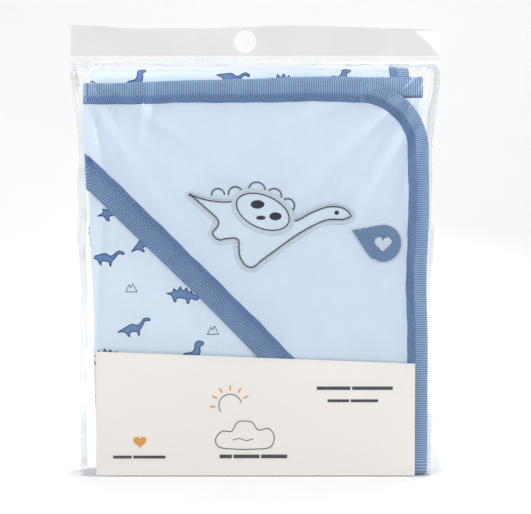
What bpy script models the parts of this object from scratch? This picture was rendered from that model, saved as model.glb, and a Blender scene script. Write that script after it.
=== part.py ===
"""A hooded baby towel, folded in thirds each way, in a clear header bag with a card.

The towel's cloth is a flat square that a fold map lays into nine layers, so each sewn piece is
drawn on the flat square first and folded with it. Flat coordinates are u, from the hood corner
along the top edge, v, from the hood corner down the front page, and w, the height over the middle
of the cloth. The pack stands on its bottom fold, with its front towards -Y and +Z up.
"""

import math

import bmesh
import bpy
import numpy as np

# Towel, in metres
SIDE = 0.760
CORNER_RADIUS = 0.050
CLOTH = 0.0010
BINDING_WALL = 0.0004
BINDING_WIDTH = 0.0150
STITCH_WIDTH = 0.0042
STITCH_INSET = 0.0006
THREAD = 0.0002
HOOD_LEG = 0.334
HOOD_BINDING_WIDTH = 0.0187
HOOD_CLOTH = 0.0007
SEW_GAP = 0.0002

# Folding: shares of the cloth's length in each page and column
FRONT_PAGE_SHARE = 0.3721
BACK_PAGE_SHARE = 0.3751
FRONT_COLUMN_SHARE = 0.3338
MIDDLE_COLUMN_SHARE = 0.3249
PAGE_GAP = 0.0003
FOLD_RADIUS = 0.0010
SKEW = 0.0045
PAGE_TAPER = 0.030
BACK_LEAN = 0.0135
SKIN_GAP = 0.0003
RAMP = 0.010

# Applique
PATCH = 0.0003
SATIN_WIDTH = 0.0022
SATIN_HEIGHT = 0.0006
OUTLINE_WIDTH = 0.0008
OUTLINE_INSET = 0.0016
DINO_CENTRE = (0.376 * HOOD_LEG, 0.335 * HOOD_LEG)
BUBBLE_CENTRE = (BINDING_WIDTH + 0.0185, 0.359 * HOOD_LEG)
BUBBLE_RADIUS = 0.0140
BUBBLE_TIP = 0.0260
HEART_SIZE = 0.0130
SADDLE_HALF_LENGTH = 0.0225
SADDLE_HALF_WIDTH = 0.0135

# Card
CARD = 0.0004
CARD_HEIGHT_LEFT = 0.094
CARD_HEIGHT_RIGHT = 0.085
CARD_INSET = 0.0095
CARD_FOOT = 0.0005

# Bag
FILM = 0.0003
BAG_EASE = 0.0020
BAG_CORNER = 0.0035
WEB_GAP = 0.0003
ROOF_RISE = 0.0130
SHOULDER_DROP = 0.025
HEADER_OVERHANG = 0.00875
HEADER_HEIGHT = 0.0220
HEADER_THICKNESS = 0.0005
HANG_HOLE_RADIUS = 0.0085
HANG_HOLE_OFFSET = -0.0080
SEAL_WIDTH = 0.0025
SEAL_BAND = 0.0032
EAR_HEIGHT = 0.022
LIP_HEIGHT = 0.040
LIP_INSET = 0.012
LIP_THICKNESS = 0.0004
TAPE_HEIGHT = 0.010
TAPE_THICKNESS = 0.0002

# Heights over the middle of the cloth
HALF = CLOTH / 2
BACK_LEVEL = HALF + SEW_GAP + BINDING_WALL
HOOD_BASE = HALF + SEW_GAP + BINDING_WALL + SEW_GAP
HOOD_TOP = HOOD_BASE + HOOD_CLOTH
HOOD_RISE = HOOD_TOP - HALF
SLOT_LEVEL = HALF + SEW_GAP
WALL_LEVEL = SLOT_LEVEL + BINDING_WALL
STITCH_BASE = WALL_LEVEL + SEW_GAP
FRONT_LEVEL = STITCH_BASE + THREAD
HOODED_LEVEL = FRONT_LEVEL + HOOD_RISE
APPLIQUE_BASE = HOOD_TOP + SEW_GAP
ON_PATCH = APPLIQUE_BASE + PATCH + SEW_GAP
SADDLE_BASE = max(APPLIQUE_BASE + SATIN_HEIGHT, ON_PATCH + THREAD) + SEW_GAP
ON_SADDLE = SADDLE_BASE + PATCH + SEW_GAP
APPLIQUE_TOP = max(SADDLE_BASE + SATIN_HEIGHT, ON_SADDLE + THREAD)

# Heights of the three columns in a page, from its inner face
INNER_COLUMN = BACK_LEVEL
MIDDLE_COLUMN = INNER_COLUMN + FRONT_LEVEL + SEW_GAP + HOODED_LEVEL
OUTER_COLUMN = MIDDLE_COLUMN + 2 * BACK_LEVEL + SEW_GAP
PAGE = OUTER_COLUMN + FRONT_LEVEL
HOODED_PAGE = OUTER_COLUMN + HOODED_LEVEL

# Across the width
FRONT_COLUMN = SIDE * FRONT_COLUMN_SHARE
SECOND_COLUMN = SIDE * MIDDLE_COLUMN_SHARE
LEFT_RADIUS = (OUTER_COLUMN - MIDDLE_COLUMN) / 2
RIGHT_RADIUS = (MIDDLE_COLUMN - INNER_COLUMN) / 2
BINDING_EDGE = SEW_GAP + BINDING_WALL
PAST_EDGE = 2 * BINDING_EDGE
LEFT_REACH = LEFT_RADIUS + HOODED_LEVEL
EDGE_X = (FRONT_COLUMN + LEFT_REACH - BINDING_EDGE) / 2
HALF_PACK = EDGE_X + BINDING_EDGE

# Through the depth, from the inner face of the front page
FILM_FRONT = OUTER_COLUMN + APPLIQUE_TOP + SKIN_GAP + CARD + SKIN_GAP
REAR_PAGE = PAGE_GAP + PAGE + 2 * FOLD_RADIUS
FILM_BACK = REAR_PAGE + HOODED_PAGE + SKIN_GAP
REAR_FACE = FILM_BACK + FILM + SKIN_GAP + LIP_THICKNESS + SKIN_GAP + TAPE_THICKNESS
FRONT_PAGE_Y = (FILM_FRONT + FILM - REAR_FACE) / 2
REAR_PAGE_Y = FRONT_PAGE_Y + REAR_PAGE
TOP_FOLD_Y = REAR_PAGE_Y - FOLD_RADIUS

# Up the height
FOOT = HOODED_PAGE
FOOT_TURN = FOOT + FOLD_RADIUS
TOP_FOLD_Z = FOOT_TURN + SIDE * BACK_PAGE_SHARE
TOWEL_TOP = TOP_FOLD_Z + FOLD_RADIUS + PAGE
FRONT_TOP = FOOT_TURN + SIDE * FRONT_PAGE_SHARE

# Steps in each turn, and how square the foot's turn is: 2 is round
TURN_STEPS = 5
SIDE_STEPS = 5
TOP_STEPS = 8
CORNER_STEPS = 6
FOOT_SQUARENESS = 4.0


def superellipse(angle, power):
    """Unit vector at an angle from +Y towards +Z, lengthened towards the corners of a square."""
    c, s = math.cos(angle), math.sin(angle)
    size = (abs(c) ** power + abs(s) ** power) ** (1 / power)
    return c / size, s / size


def lengthwise_path():
    """Rows of (length down the cloth, y, z, outward y, outward z) along the pages' inner face."""
    reach = FOLD_RADIUS + OUTER_COLUMN
    rows = []
    length = 0.0

    def add(y, z, outward):
        rows.append((length, y, z, outward[0], outward[1]))

    above = SKEW + PAST_EDGE
    length -= above
    add(FRONT_PAGE_Y, FRONT_TOP + above, (-1.0, 0.0))
    length += above + FRONT_TOP - FOOT_TURN
    corners = ((FRONT_PAGE_Y + FOLD_RADIUS, math.pi), (REAR_PAGE_Y - FOLD_RADIUS, 1.5 * math.pi))
    for number, (centre_y, start) in enumerate(corners):
        for step in range(TURN_STEPS + 1):
            outward = superellipse(start + 0.5 * math.pi * step / TURN_STEPS, FOOT_SQUARENESS)
            add(centre_y + FOLD_RADIUS * outward[0], FOOT_TURN + FOLD_RADIUS * outward[1], outward)
            if step < TURN_STEPS:
                length += reach * 0.5 * math.pi / TURN_STEPS
        if number == 0:
            length += corners[1][0] - corners[0][0]
    length += TOP_FOLD_Z - FOOT_TURN
    for step in range(TOP_STEPS + 1):
        outward = superellipse(math.pi * step / TOP_STEPS, 2.0)
        add(TOP_FOLD_Y + FOLD_RADIUS * outward[0], TOP_FOLD_Z + FOLD_RADIUS * outward[1], outward)
        if step < TOP_STEPS:
            length += reach * math.pi / TOP_STEPS
    tail = SIDE + PAST_EDGE - length
    length += tail
    add(TOP_FOLD_Y - FOLD_RADIUS, TOP_FOLD_Z - tail, (-1.0, 0.0))
    return np.array(rows)


def widthwise_path():
    """Rows of (length along the cloth, x, height in the page, front side x, front side height)."""
    rows = [(-PAST_EDGE, EDGE_X + PAST_EDGE, OUTER_COLUMN, 0.0, 1.0)]
    length = FRONT_COLUMN
    left_x = EDGE_X - FRONT_COLUMN
    for step in range(SIDE_STEPS + 1):
        angle = math.pi * (0.5 + step / SIDE_STEPS)
        front = (math.cos(angle), math.sin(angle))
        middle = (OUTER_COLUMN + MIDDLE_COLUMN) / 2
        point = (left_x + LEFT_RADIUS * front[0], middle + LEFT_RADIUS * front[1])
        rows.append((length + math.pi * LEFT_RADIUS * step / SIDE_STEPS, *point, *front))
    length += math.pi * LEFT_RADIUS + SECOND_COLUMN
    right_x = left_x + SECOND_COLUMN
    for step in range(SIDE_STEPS + 1):
        angle = math.pi * (0.5 - step / SIDE_STEPS)
        outward = (math.cos(angle), math.sin(angle))
        middle = (MIDDLE_COLUMN + INNER_COLUMN) / 2
        point = (right_x + RIGHT_RADIUS * outward[0], middle + RIGHT_RADIUS * outward[1])
        front = (-outward[0], -outward[1])
        rows.append((length + math.pi * RIGHT_RADIUS * step / SIDE_STEPS, *point, *front))
    length += math.pi * RIGHT_RADIUS
    tail = SIDE + PAST_EDGE - length
    rows.append((SIDE + PAST_EDGE, right_x - tail, INNER_COLUMN, 0.0, 1.0))
    return np.array(rows)


DOWN = lengthwise_path()
ACROSS = widthwise_path()
FOOT_START = DOWN[1, 0]
FOOT_END = DOWN[2 * TURN_STEPS + 2, 0]
TOP_START = DOWN[2 * TURN_STEPS + 3, 0]
SECOND_START = ACROSS[SIDE_STEPS + 1, 0]
SECOND_END = ACROSS[SIDE_STEPS + 2, 0]
THIRD_START = ACROSS[2 * SIDE_STEPS + 2, 0]

# The middle column rises as it goes round, so its top edge shows behind the front one.
SKEW_LINES = (SECOND_START, SECOND_END, THIRD_START + FOLD_RADIUS, SIDE - 2 * BINDING_WIDTH)
SKEW_SHARES = (0.0, 1.0, 1.0, 0.0)

# The front column settles outwards at the foot, to stand level with the bound and hooded edge.
SETTLE = HOODED_LEVEL - HALF
SETTLE_START = HOOD_LEG - FOOT_START + 2 * BINDING_WIDTH
SETTLE_LINES = (SETTLE_START, SETTLE_START + 0.025, FRONT_COLUMN - 0.040, FRONT_COLUMN - 0.015)
SETTLE_DOWN = (FOOT_START - RAMP, FOOT_START, FOOT_END, FOOT_END + RAMP)

# The edge binding steps down to the bare cloth past the ends of the hood's legs.
HOOD_ENDS = (HOOD_LEG + FOLD_RADIUS, HOOD_LEG + FOLD_RADIUS + RAMP)


def skew(u):
    return SKEW * np.interp(u, SKEW_LINES, SKEW_SHARES)


def fold(points):
    """Lays flat points (u, v down the folded path, w) into the pack: the width first, then the length."""
    u, down, w = np.asarray(points, float).T
    across = (np.interp(u, ACROSS[:, 0], ACROSS[:, k]) for k in (1, 2, 3, 4))
    x, height, front_x, front_height = across
    x = x + w * front_x
    height = height + w * front_height
    settled = np.interp(u, SETTLE_LINES, (0, 1, 1, 0)) * np.interp(down, SETTLE_DOWN, (0, 1, 1, 0))
    height = height + SETTLE * settled
    y, z, out_y, out_z = (np.interp(down, DOWN[:, 0], DOWN[:, k]) for k in (1, 2, 3, 4))
    y = y + height * out_y
    z = z + height * out_z
    # The side fold isn't quite square to the cloth, so the pages narrow and the back one leans.
    width = 1 - PAGE_TAPER * np.interp(down, (0.0, TOP_START), (0.0, 2.0))
    lean = BACK_LEAN * np.interp(down, (FOOT_END, TOP_START), (0.0, 1.0))
    x = EDGE_X - lean - (EDGE_X - x) * width
    return np.stack([x, y, z], axis=1)


def in_hood_step(u, v):
    """1 where the hood lies under the edge binding, falling to 0 past the end of its leg."""
    return np.interp(np.maximum(u, v), HOOD_ENDS, (1.0, 0.0))


# Flat outlines


def rounded_square(inset):
    """The cloth's outline, moved inwards by inset, counterclockwise from the corner by the hood."""
    radius = CORNER_RADIUS - inset
    far = SIDE - CORNER_RADIUS
    centres = ((CORNER_RADIUS, CORNER_RADIUS), (far, CORNER_RADIUS), (far, far), (CORNER_RADIUS, far))
    points = []
    for number, (cu, cv) in enumerate(centres):
        for step in range(CORNER_STEPS + 1):
            angle = math.pi * (1 + 0.5 * (number + step / CORNER_STEPS))
            points.append((cu + radius * math.cos(angle), cv + radius * math.sin(angle)))
    return points


def hood_outline():
    """The corner triangle of the cloth, with the cloth's own rounded corner."""
    corner = rounded_square(0.0)[: CORNER_STEPS + 1]
    return [(0.0, HOOD_LEG), *corner, (HOOD_LEG, 0.0)]


def diagonal_band(inner, outer):
    """A band along the hood's long edge, between two insets, ending against the edge binding."""
    margin = BINDING_WIDTH + SEW_GAP
    near = HOOD_LEG - inner * math.sqrt(2)
    far = HOOD_LEG - outer * math.sqrt(2)
    near_side = [(margin, near - margin), (near - margin, margin)]
    return near_side + [(far - margin, margin), (margin, far - margin)]


# Cloth solids


def flat_plan(*groups):
    """A flat mesh of groups of faces, each face a list of (u, v) points, joined along shared points.
    A face keeps the number of its group as its material index."""
    plan = bmesh.new()
    made = {}
    for group, face in ((number, face) for number, faces in enumerate(groups) for face in faces):
        corners = []
        for point in face:
            key = (round(point[0], 7), round(point[1], 7))
            if key not in made:
                made[key] = plan.verts.new((point[0], point[1], 0.0))
            corners.append(made[key])
        plan.faces.new(corners).material_index = group
    return plan


def cut(plan, normal, places):
    """Cuts the plan's faces along lines at right angles to normal, at each distance in places."""
    for place in places:
        geometry = plan.verts[:] + plan.edges[:] + plan.faces[:]
        point = (normal[0] * place, normal[1] * place, 0.0)
        bmesh.ops.bisect_plane(plan, geom=geometry, dist=1e-6, plane_co=point, plane_no=(*normal, 0.0))


def fold_cuts(plan):
    """Cuts the plan wherever the fold map turns, and slides its points along by the skew."""
    cut(plan, (1, 0), sorted({*ACROSS[:, 0], *SKEW_LINES, *SETTLE_LINES, *HOOD_ENDS}))
    cut(plan, (0, 1), HOOD_ENDS)
    for vertex in plan.verts:
        vertex.co.y -= float(skew(vertex.co.x))
    cut(plan, (0, 1), sorted({*DOWN[:, 0], *SETTLE_DOWN}))
    bmesh.ops.triangulate(plan, faces=plan.faces[:])


def layered(plan, levels, solid):
    """Points and faces of a solid on a plan. levels(u, v) gives the heights between layers, and
    solid says, for each group of faces, which of the layers are filled there."""
    plan.verts.ensure_lookup_table()
    plan.verts.index_update()
    flat = np.array([vertex.co[:] for vertex in plan.verts])
    true_v = flat[:, 1] + skew(flat[:, 0])
    lines = [np.broadcast_to(level, len(flat)) for level in levels(flat[:, 0], true_v)]
    heights = np.stack(lines, axis=1)
    made = {}
    points = []
    faces = []

    def corner(vertex, level):
        key = (vertex.index, level)
        if key not in made:
            made[key] = len(points)
            points.append((*flat[vertex.index, :2], heights[vertex.index, level]))
        return made[key]

    filled = {face: solid[face.material_index] for face in plan.faces}
    clockwise = sum(face.normal.z * face.calc_area() for face in plan.faces) < 0
    for face, layers in filled.items():
        loop = list(reversed(face.verts)) if clockwise else list(face.verts)
        for layer, full in enumerate(layers):
            if not full:
                continue
            if layer == len(layers) - 1 or not layers[layer + 1]:
                faces.append([corner(vertex, layer + 1) for vertex in loop])
            if layer == 0 or not layers[layer - 1]:
                faces.append([corner(vertex, layer) for vertex in reversed(loop)])
            for a, b in zip(loop, loop[1:] + loop[:1]):
                edge = next(e for e in a.link_edges if b in e.verts)
                others = [other for other in edge.link_faces if other is not face]
                if others and filled[others[0]][layer]:
                    continue
                sides = (corner(a, layer), corner(b, layer), corner(b, layer + 1), corner(a, layer + 1))
                faces.append(list(sides))
    plan.free()
    return np.array(points), faces


def principled(name, color, roughness):
    material = bpy.data.materials.new(name)
    material.use_nodes = True
    shader = material.node_tree.nodes["Principled BSDF"]
    shader.inputs["Base Color"].default_value = (*color, 1.0)
    shader.inputs["Roughness"].default_value = roughness
    shader.inputs["Metallic"].default_value = 0.0
    return material


def add_object(name, points, faces, color, roughness=0.9, origin=(0.0, 0.0, 0.0)):
    """One node of the assembly, with its own material, its origin at the given place."""
    mesh = bpy.data.meshes.new(name)
    mesh.from_pydata([tuple(p) for p in np.asarray(points) - np.array(origin)], [], faces)
    mesh.materials.append(principled(name, color, roughness))
    thing = bpy.data.objects.new(name, mesh)
    thing.location = origin
    bpy.context.scene.collection.objects.link(thing)
    return thing


def sewn(name, groups, levels, solid, color):
    """A piece drawn flat, cut at the folds and folded with the cloth."""
    plan = flat_plan(*groups)
    fold_cuts(plan)
    points, made = layered(plan, levels, solid)
    return add_object(name, fold(points), made, color)


def one_layer(low, high):
    return lambda u, v: (low, high)


FULL = ((True,),)
TWO_WALLS = ((True, False, True), (True, True, True))


def ring_faces(*outlines):
    """Quads between neighbouring closed outlines with as many points each."""
    faces = []
    for inner, outer in zip(outlines, outlines[1:]):
        for k in range(len(inner)):
            after = (k + 1) % len(inner)
            faces.append([inner[k], inner[after], outer[after], outer[k]])
    return faces


# Towel pieces

WHITE_PRINT = (0.80, 0.86, 0.93)
PLAIN_BLUE = (0.60, 0.73, 0.87)
RIB_BLUE = (0.14, 0.26, 0.46)
THREAD_BLUE = (0.10, 0.20, 0.42)
PALE_PATCH = (0.72, 0.78, 0.84)
SATIN_GREY = (0.62, 0.68, 0.74)
NAVY = (0.02, 0.035, 0.06)
BUBBLE_BLUE = (0.19, 0.33, 0.49)


def make_body_panel():
    sewn("body_panel", [[rounded_square(0.0)]], one_layer(-HALF, HALF), FULL, WHITE_PRINT)


def make_edge_binding():
    """Ribbed strip folded over the whole edge: two walls and the turn between them."""

    def levels(u, v):
        rise = HOOD_RISE * in_hood_step(u, v)
        return (-BACK_LEVEL, -SLOT_LEVEL, SLOT_LEVEL + rise, WALL_LEVEL + rise)

    lip, slot, edge = (rounded_square(inset) for inset in (BINDING_WIDTH, -SEW_GAP, -BINDING_EDGE))
    sewn("edge_binding", [ring_faces(lip, slot), ring_faces(slot, edge)], levels, TWO_WALLS, RIB_BLUE)


def make_edge_stitching():
    def levels(u, v):
        rise = HOOD_RISE * in_hood_step(u, v)
        return (STITCH_BASE + rise, FRONT_LEVEL + rise)

    inner = BINDING_WIDTH - STITCH_INSET
    outlines = [rounded_square(inset) for inset in (inner, inner - STITCH_WIDTH)]
    sewn("edge_stitching", [ring_faces(*outlines)], levels, FULL, THREAD_BLUE)


def make_hood_panel():
    sewn("hood_panel", [[hood_outline()]], one_layer(HOOD_BASE, HOOD_TOP), FULL, PLAIN_BLUE)


def make_hood_binding():
    """Ribbed strip folded over the hood's long edge, ending against the edge binding."""
    base = SLOT_LEVEL
    heights = (base, base + BINDING_WALL, HOOD_TOP + SEW_GAP, HOOD_TOP + SEW_GAP + BINDING_WALL)
    walls = diagonal_band(HOOD_BINDING_WIDTH, -SEW_GAP)
    turn = diagonal_band(-SEW_GAP, -BINDING_EDGE)
    sewn("hood_binding", [[walls], [turn]], lambda u, v: heights, TWO_WALLS, RIB_BLUE)


def make_hood_stitching():
    base = HOOD_TOP + SEW_GAP + BINDING_WALL + SEW_GAP
    inner = HOOD_BINDING_WIDTH - STITCH_INSET
    band = diagonal_band(inner, inner - STITCH_WIDTH)
    sewn("hood_stitching", [[band]], one_layer(base, base + THREAD), FULL, THREAD_BLUE)


# Applique, drawn in right and up from a centre on the hood


def smooth_outline(points, steps):
    """A closed Catmull-Rom curve through the points."""
    p = np.asarray(points, float)
    before, after, beyond = np.roll(p, 1, 0), np.roll(p, -1, 0), np.roll(p, -2, 0)
    rows = []
    for k in range(len(p)):
        for step in range(steps):
            t = step / steps
            rows.append(
                0.5 * (2 * p[k] + (after[k] - before[k]) * t
                       + (2 * before[k] - 5 * p[k] + 4 * after[k] - beyond[k]) * t * t
                       + (3 * p[k] - before[k] - 3 * after[k] + beyond[k]) * t ** 3)
            )
    return np.array(rows)


def ellipse(half_length, half_width, tilt, steps, centre=(0.0, 0.0), sweep=2 * math.pi, start=0.0):
    """Points round an ellipse whose long axis is turned by tilt; an arc when sweep is less than a turn."""
    count = steps if sweep >= 2 * math.pi else steps + 1
    angle = start + sweep * np.arange(count) / steps
    along, across = half_length * np.cos(angle), half_width * np.sin(angle)
    c, s = math.cos(tilt), math.sin(tilt)
    return np.stack([centre[0] + c * along - s * across, centre[1] + s * along + c * across], axis=1)


def moved_out(outline, distance):
    """A closed counterclockwise outline, each point moved out along the bisector of its sides."""
    before = outline - np.roll(outline, 1, 0)
    after = np.roll(outline, -1, 0) - outline
    before /= np.linalg.norm(before, axis=1)[:, None]
    after /= np.linalg.norm(after, axis=1)[:, None]
    out = np.stack([before[:, 1] + after[:, 1], -before[:, 0] - after[:, 0]], axis=1)
    length = np.linalg.norm(out, axis=1)[:, None]
    out /= length
    return outline + distance * out / np.maximum(length / 2, 0.7)


def on_hood(outline, centre):
    """Flat (u, v) points of an outline drawn right and up from a centre. Both axes turn over."""
    return [(centre[0] - a, centre[1] - b) for a, b in outline]


def embroidered(name, outline, centre, low, height, color):
    plan = flat_plan([on_hood(outline, centre)])
    bmesh.ops.triangulate(plan, faces=plan.faces[:])
    points, faces = layered(plan, one_layer(low, low + height), FULL)
    add_object(name, fold(points), faces, color)


def embroidered_ring(name, outline, offsets, centre, low, height, color):
    """A line of stitches between two offsets of an outline."""
    rings = [on_hood(moved_out(outline, offset), centre) for offset in offsets]
    plan = flat_plan(ring_faces(*rings))
    bmesh.ops.triangulate(plan, faces=plan.faces[:])
    points, faces = layered(plan, one_layer(low, low + height), FULL)
    add_object(name, fold(points), faces, color)


# A plain long-necked dinosaur: tail, rump, two rounded feet, chest, neck and head, counterclockwise
DINO_POINTS = np.array([
    (-55.0, 29.0), (-44.0, 18.5), (-33.5, 8.0), (-38.0, -0.5), (-32.5, -6.5), (-25.0, -5.5),
    (-18.5, -6.0), (-18.0, -12.5), (-17.0, -19.0), (-12.5, -25.5), (-6.0, -27.0), (1.5, -21.5),
    (14.0, -12.5), (26.0, -4.0), (38.0, 3.0), (50.0, 8.0), (62.0, 8.5), (68.5, 12.5), (62.0, 19.0),
    (50.0, 20.0), (37.0, 15.5), (24.0, 9.5), (14.0, 17.0), (0.0, 24.0), (-14.0, 26.0),
    (-27.0, 24.0), (-41.0, 25.5),
]) / 1000
SADDLE_TILT = math.radians(-24)
SADDLE_AT = (0.0010, 0.0155)
# Each plate: right and up from the centre of the applique, radius, and the way it points in degrees
PLATES = (
    (-0.0326, 0.0280, 0.0050, 93), (-0.0195, 0.0288, 0.0056, 98), (-0.0035, 0.0312, 0.0066, 90),
    (0.0095, 0.0272, 0.0056, 66), (0.0195, 0.0198, 0.0054, 48),
)
# Each spot: right and up from the middle of the saddle, half length and half width
SPOTS = (
    (-0.0040, 0.0055, 0.0052, 0.0032), (-0.0015, -0.0045, 0.0036, 0.0016),
    (0.0095, -0.0035, 0.0046, 0.0030),
)
EYE_AT = (0.0565, 0.0145)
EYE_RADIUS = 0.0016
ROUND_STEPS = 40
SATIN_BAND = (SEW_GAP, SEW_GAP + SATIN_WIDTH)
THREAD_LINE = (-OUTLINE_INSET, SEW_GAP - OUTLINE_INSET + OUTLINE_WIDTH)


def make_dino():
    outline = smooth_outline(DINO_POINTS, 4)
    embroidered("dino_patch", outline, DINO_CENTRE, APPLIQUE_BASE, PATCH, PALE_PATCH)
    place = (DINO_CENTRE, APPLIQUE_BASE, SATIN_HEIGHT)
    embroidered_ring("dino_border", outline, SATIN_BAND, *place, SATIN_GREY)
    embroidered_ring("dino_outline", outline, THREAD_LINE, DINO_CENTRE, ON_PATCH, THREAD, NAVY)


def make_saddle():
    """The oval patch over the back, its satin border, its dark line and its embroidered spots."""
    centre = (DINO_CENTRE[0] - SADDLE_AT[0], DINO_CENTRE[1] - SADDLE_AT[1])
    outline = ellipse(SADDLE_HALF_LENGTH, SADDLE_HALF_WIDTH, SADDLE_TILT, ROUND_STEPS)
    embroidered("saddle_patch", outline, centre, SADDLE_BASE, PATCH, PALE_PATCH)
    place = (centre, SADDLE_BASE, SATIN_HEIGHT)
    embroidered_ring("saddle_border", outline, SATIN_BAND, *place, SATIN_GREY)
    embroidered_ring("saddle_outline", outline, THREAD_LINE, centre, ON_SADDLE, THREAD, NAVY)
    for number, (right, up, half_length, half_width) in enumerate(SPOTS, 1):
        spot = ellipse(half_length, half_width, 0.0, 16, (right, up))
        embroidered(f"saddle_spot_{number}", spot, centre, ON_SADDLE, THREAD, NAVY)


def make_plates():
    """Half-round plates in a row above the back."""
    for number, (right, up, radius, points_to) in enumerate(PLATES, 1):
        start = math.radians(points_to - 90)
        plate = ellipse(radius, radius, 0.0, 14, (right, up), math.pi, start)
        embroidered(f"back_plate_{number}", plate, DINO_CENTRE, APPLIQUE_BASE, PATCH, PALE_PATCH)


def make_eye():
    eye = ellipse(EYE_RADIUS, EYE_RADIUS, 0.0, 14, EYE_AT)
    embroidered("eye", eye, DINO_CENTRE, ON_PATCH, THREAD, NAVY)


def leaf_outline():
    """A circle drawn out to a point at the upper left, along its two tangents."""
    points_to = math.radians(158)
    half = math.acos(BUBBLE_RADIUS / BUBBLE_TIP)
    start = points_to + half
    arc = ellipse(BUBBLE_RADIUS, BUBBLE_RADIUS, 0.0, 30, (0.0, 0.0), 2 * math.pi - 2 * half, start)
    tip = BUBBLE_TIP * np.array([[math.cos(points_to), math.sin(points_to)]])
    return np.concatenate([arc, tip])


def heart_outline(size, steps):
    """A heart as wide as size, from its usual curve in one angle."""
    t = 2 * math.pi * np.arange(steps) / steps + 0.5 * math.pi
    x = 16 * np.sin(t) ** 3
    y = 13 * np.cos(t) - 5 * np.cos(2 * t) - 2 * np.cos(3 * t) - np.cos(4 * t)
    return np.stack([-x, y], axis=1) * size / 32


def make_bubble():
    outline = leaf_outline()
    border = (SEW_GAP, SEW_GAP + SATIN_WIDTH / 2)
    embroidered("bubble_patch", outline, BUBBLE_CENTRE, APPLIQUE_BASE, PATCH, BUBBLE_BLUE)
    place = (BUBBLE_CENTRE, APPLIQUE_BASE, SATIN_HEIGHT)
    embroidered_ring("bubble_border", outline, border, *place, SATIN_GREY)
    heart = heart_outline(HEART_SIZE, 30)
    embroidered("bubble_motif", heart, BUBBLE_CENTRE, ON_PATCH, THREAD, PALE_PATCH)


# Card

CARD_WHITE = (0.83, 0.82, 0.79)


def box_points(low, high):
    return [(x, y, z) for z in (low[2], high[2]) for y in (low[1], high[1]) for x in (low[0], high[0])]


BOX_FACES = [(0, 2, 3, 1), (4, 5, 7, 6), (0, 1, 5, 4), (2, 6, 7, 3), (0, 4, 6, 2), (1, 3, 7, 5)]


def make_card():
    """A flat printed card in front of the towel, its top edge cut a little aslant."""
    half = HALF_PACK - CARD_INSET
    back = FRONT_PAGE_Y - OUTER_COLUMN - APPLIQUE_TOP - SKIN_GAP
    points = box_points((-half, back - CARD, CARD_FOOT), (half, back, CARD_HEIGHT_LEFT))
    points = [(x, y, CARD_HEIGHT_RIGHT if x > 0 and z > CARD_FOOT else z) for x, y, z in points]
    add_object("card_insert", points, BOX_FACES, CARD_WHITE, 0.7)


# Bag

CLEAR_FILM = (0.85, 0.88, 0.86)
BAG_HALF = HALF_PACK + BAG_EASE
HEADER_HALF = BAG_HALF + HEADER_OVERHANG
ROOF_START = TOP_FOLD_Z + 2 * FOLD_RADIUS
ROOF_END = ROOF_START + ROOF_RISE
SEAL_TOP = ROOF_END + SKIN_GAP + SEAL_BAND
HEADER_HINGE = SEAL_TOP + 1.4 * SKIN_GAP
LIP_HINGE_Y = FRONT_PAGE_Y + FILM_BACK + FILM + SKIN_GAP / 2
WEB_STEPS = 8
ARC_STEPS = 4
ROOF_STEPS = 7


def bag_half_width(z):
    """The bag is as wide as the pack, and widens to its flat width over the shoulder."""
    shoulder = (ROOF_START - SHOULDER_DROP, ROOF_START)
    flat = HEADER_HALF - SEAL_WIDTH - SKIN_GAP - FILM
    return np.interp(z, shoulder, (BAG_HALF, flat))


def seam_y(z):
    """The side seams run up the middle of the pack and lean over to the header."""
    return np.interp(z, (ROOF_START - 2 * SHOULDER_DROP, ROOF_END), (0.0, TOP_FOLD_Y))


def web_depth(z, face_y):
    """Depth of a web from the seam, closing as a quarter ellipse over the towel's top."""
    share = np.clip((z - ROOF_START) / ROOF_RISE, 0.0, 1.0)
    flat = WEB_GAP / 2 + FILM
    full_depth = abs(face_y - seam_y(z))
    return flat + (full_depth - flat) * np.sqrt(np.maximum(1 - share ** 2, 0.0))


def web_section(z, face_y, side, outwards):
    """One row round a web, from the left seam to the right, moved outwards by a film's thickness."""
    depth = web_depth(z, face_y)
    radius = min(BAG_CORNER, 0.6 * (depth - WEB_GAP / 2))
    half = bag_half_width(z)
    edge = seam_y(z) + side * WEB_GAP / 2
    flank = seam_y(z) + side * (depth - radius)
    row = [(-half - outwards, edge), (-half - outwards, (edge + flank) / 2)]
    for step in range(ARC_STEPS + 1):
        angle = math.pi * (1 - 0.5 * step / ARC_STEPS)
        reach = radius + outwards
        row.append((-half + radius + reach * math.cos(angle), flank + side * reach * math.sin(angle)))
    last_x, last_y = row[-1]
    for step in range(1, WEB_STEPS):
        row.append((last_x * (1 - 2 * step / WEB_STEPS), last_y))
    row += [(-x, y) for x, y in reversed(row[: ARC_STEPS + 3])]
    return [(x, y, z) for x, y in row]


def shell(inner, outer):
    """Points and faces of a closed wall between two grids of as many rows and columns."""
    inner, outer = np.array(inner), np.array(outer)
    rows, columns = inner.shape[:2]
    number = np.arange(2 * rows * columns).reshape(2, rows, columns)
    faces = []
    for r in range(rows - 1):
        for c in range(columns - 1):
            a, b = number[0], number[1]
            faces.append((a[r, c], a[r, c + 1], a[r + 1, c + 1], a[r + 1, c]))
            faces.append((b[r, c], b[r + 1, c], b[r + 1, c + 1], b[r, c + 1]))
    rim = [(0, c) for c in range(columns)] + [(r, columns - 1) for r in range(1, rows)]
    rim += [(rows - 1, c) for c in range(columns - 2, -1, -1)] + [(r, 0) for r in range(rows - 2, 0, -1)]
    for (r0, c0), (r1, c1) in zip(rim, rim[1:] + rim[:1]):
        faces.append((number[0, r1, c1], number[0, r0, c0], number[1, r0, c0], number[1, r1, c1]))
    points = np.concatenate([inner.reshape(-1, 3), outer.reshape(-1, 3)])
    return points, [tuple(int(k) for k in face) for face in faces]


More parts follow.
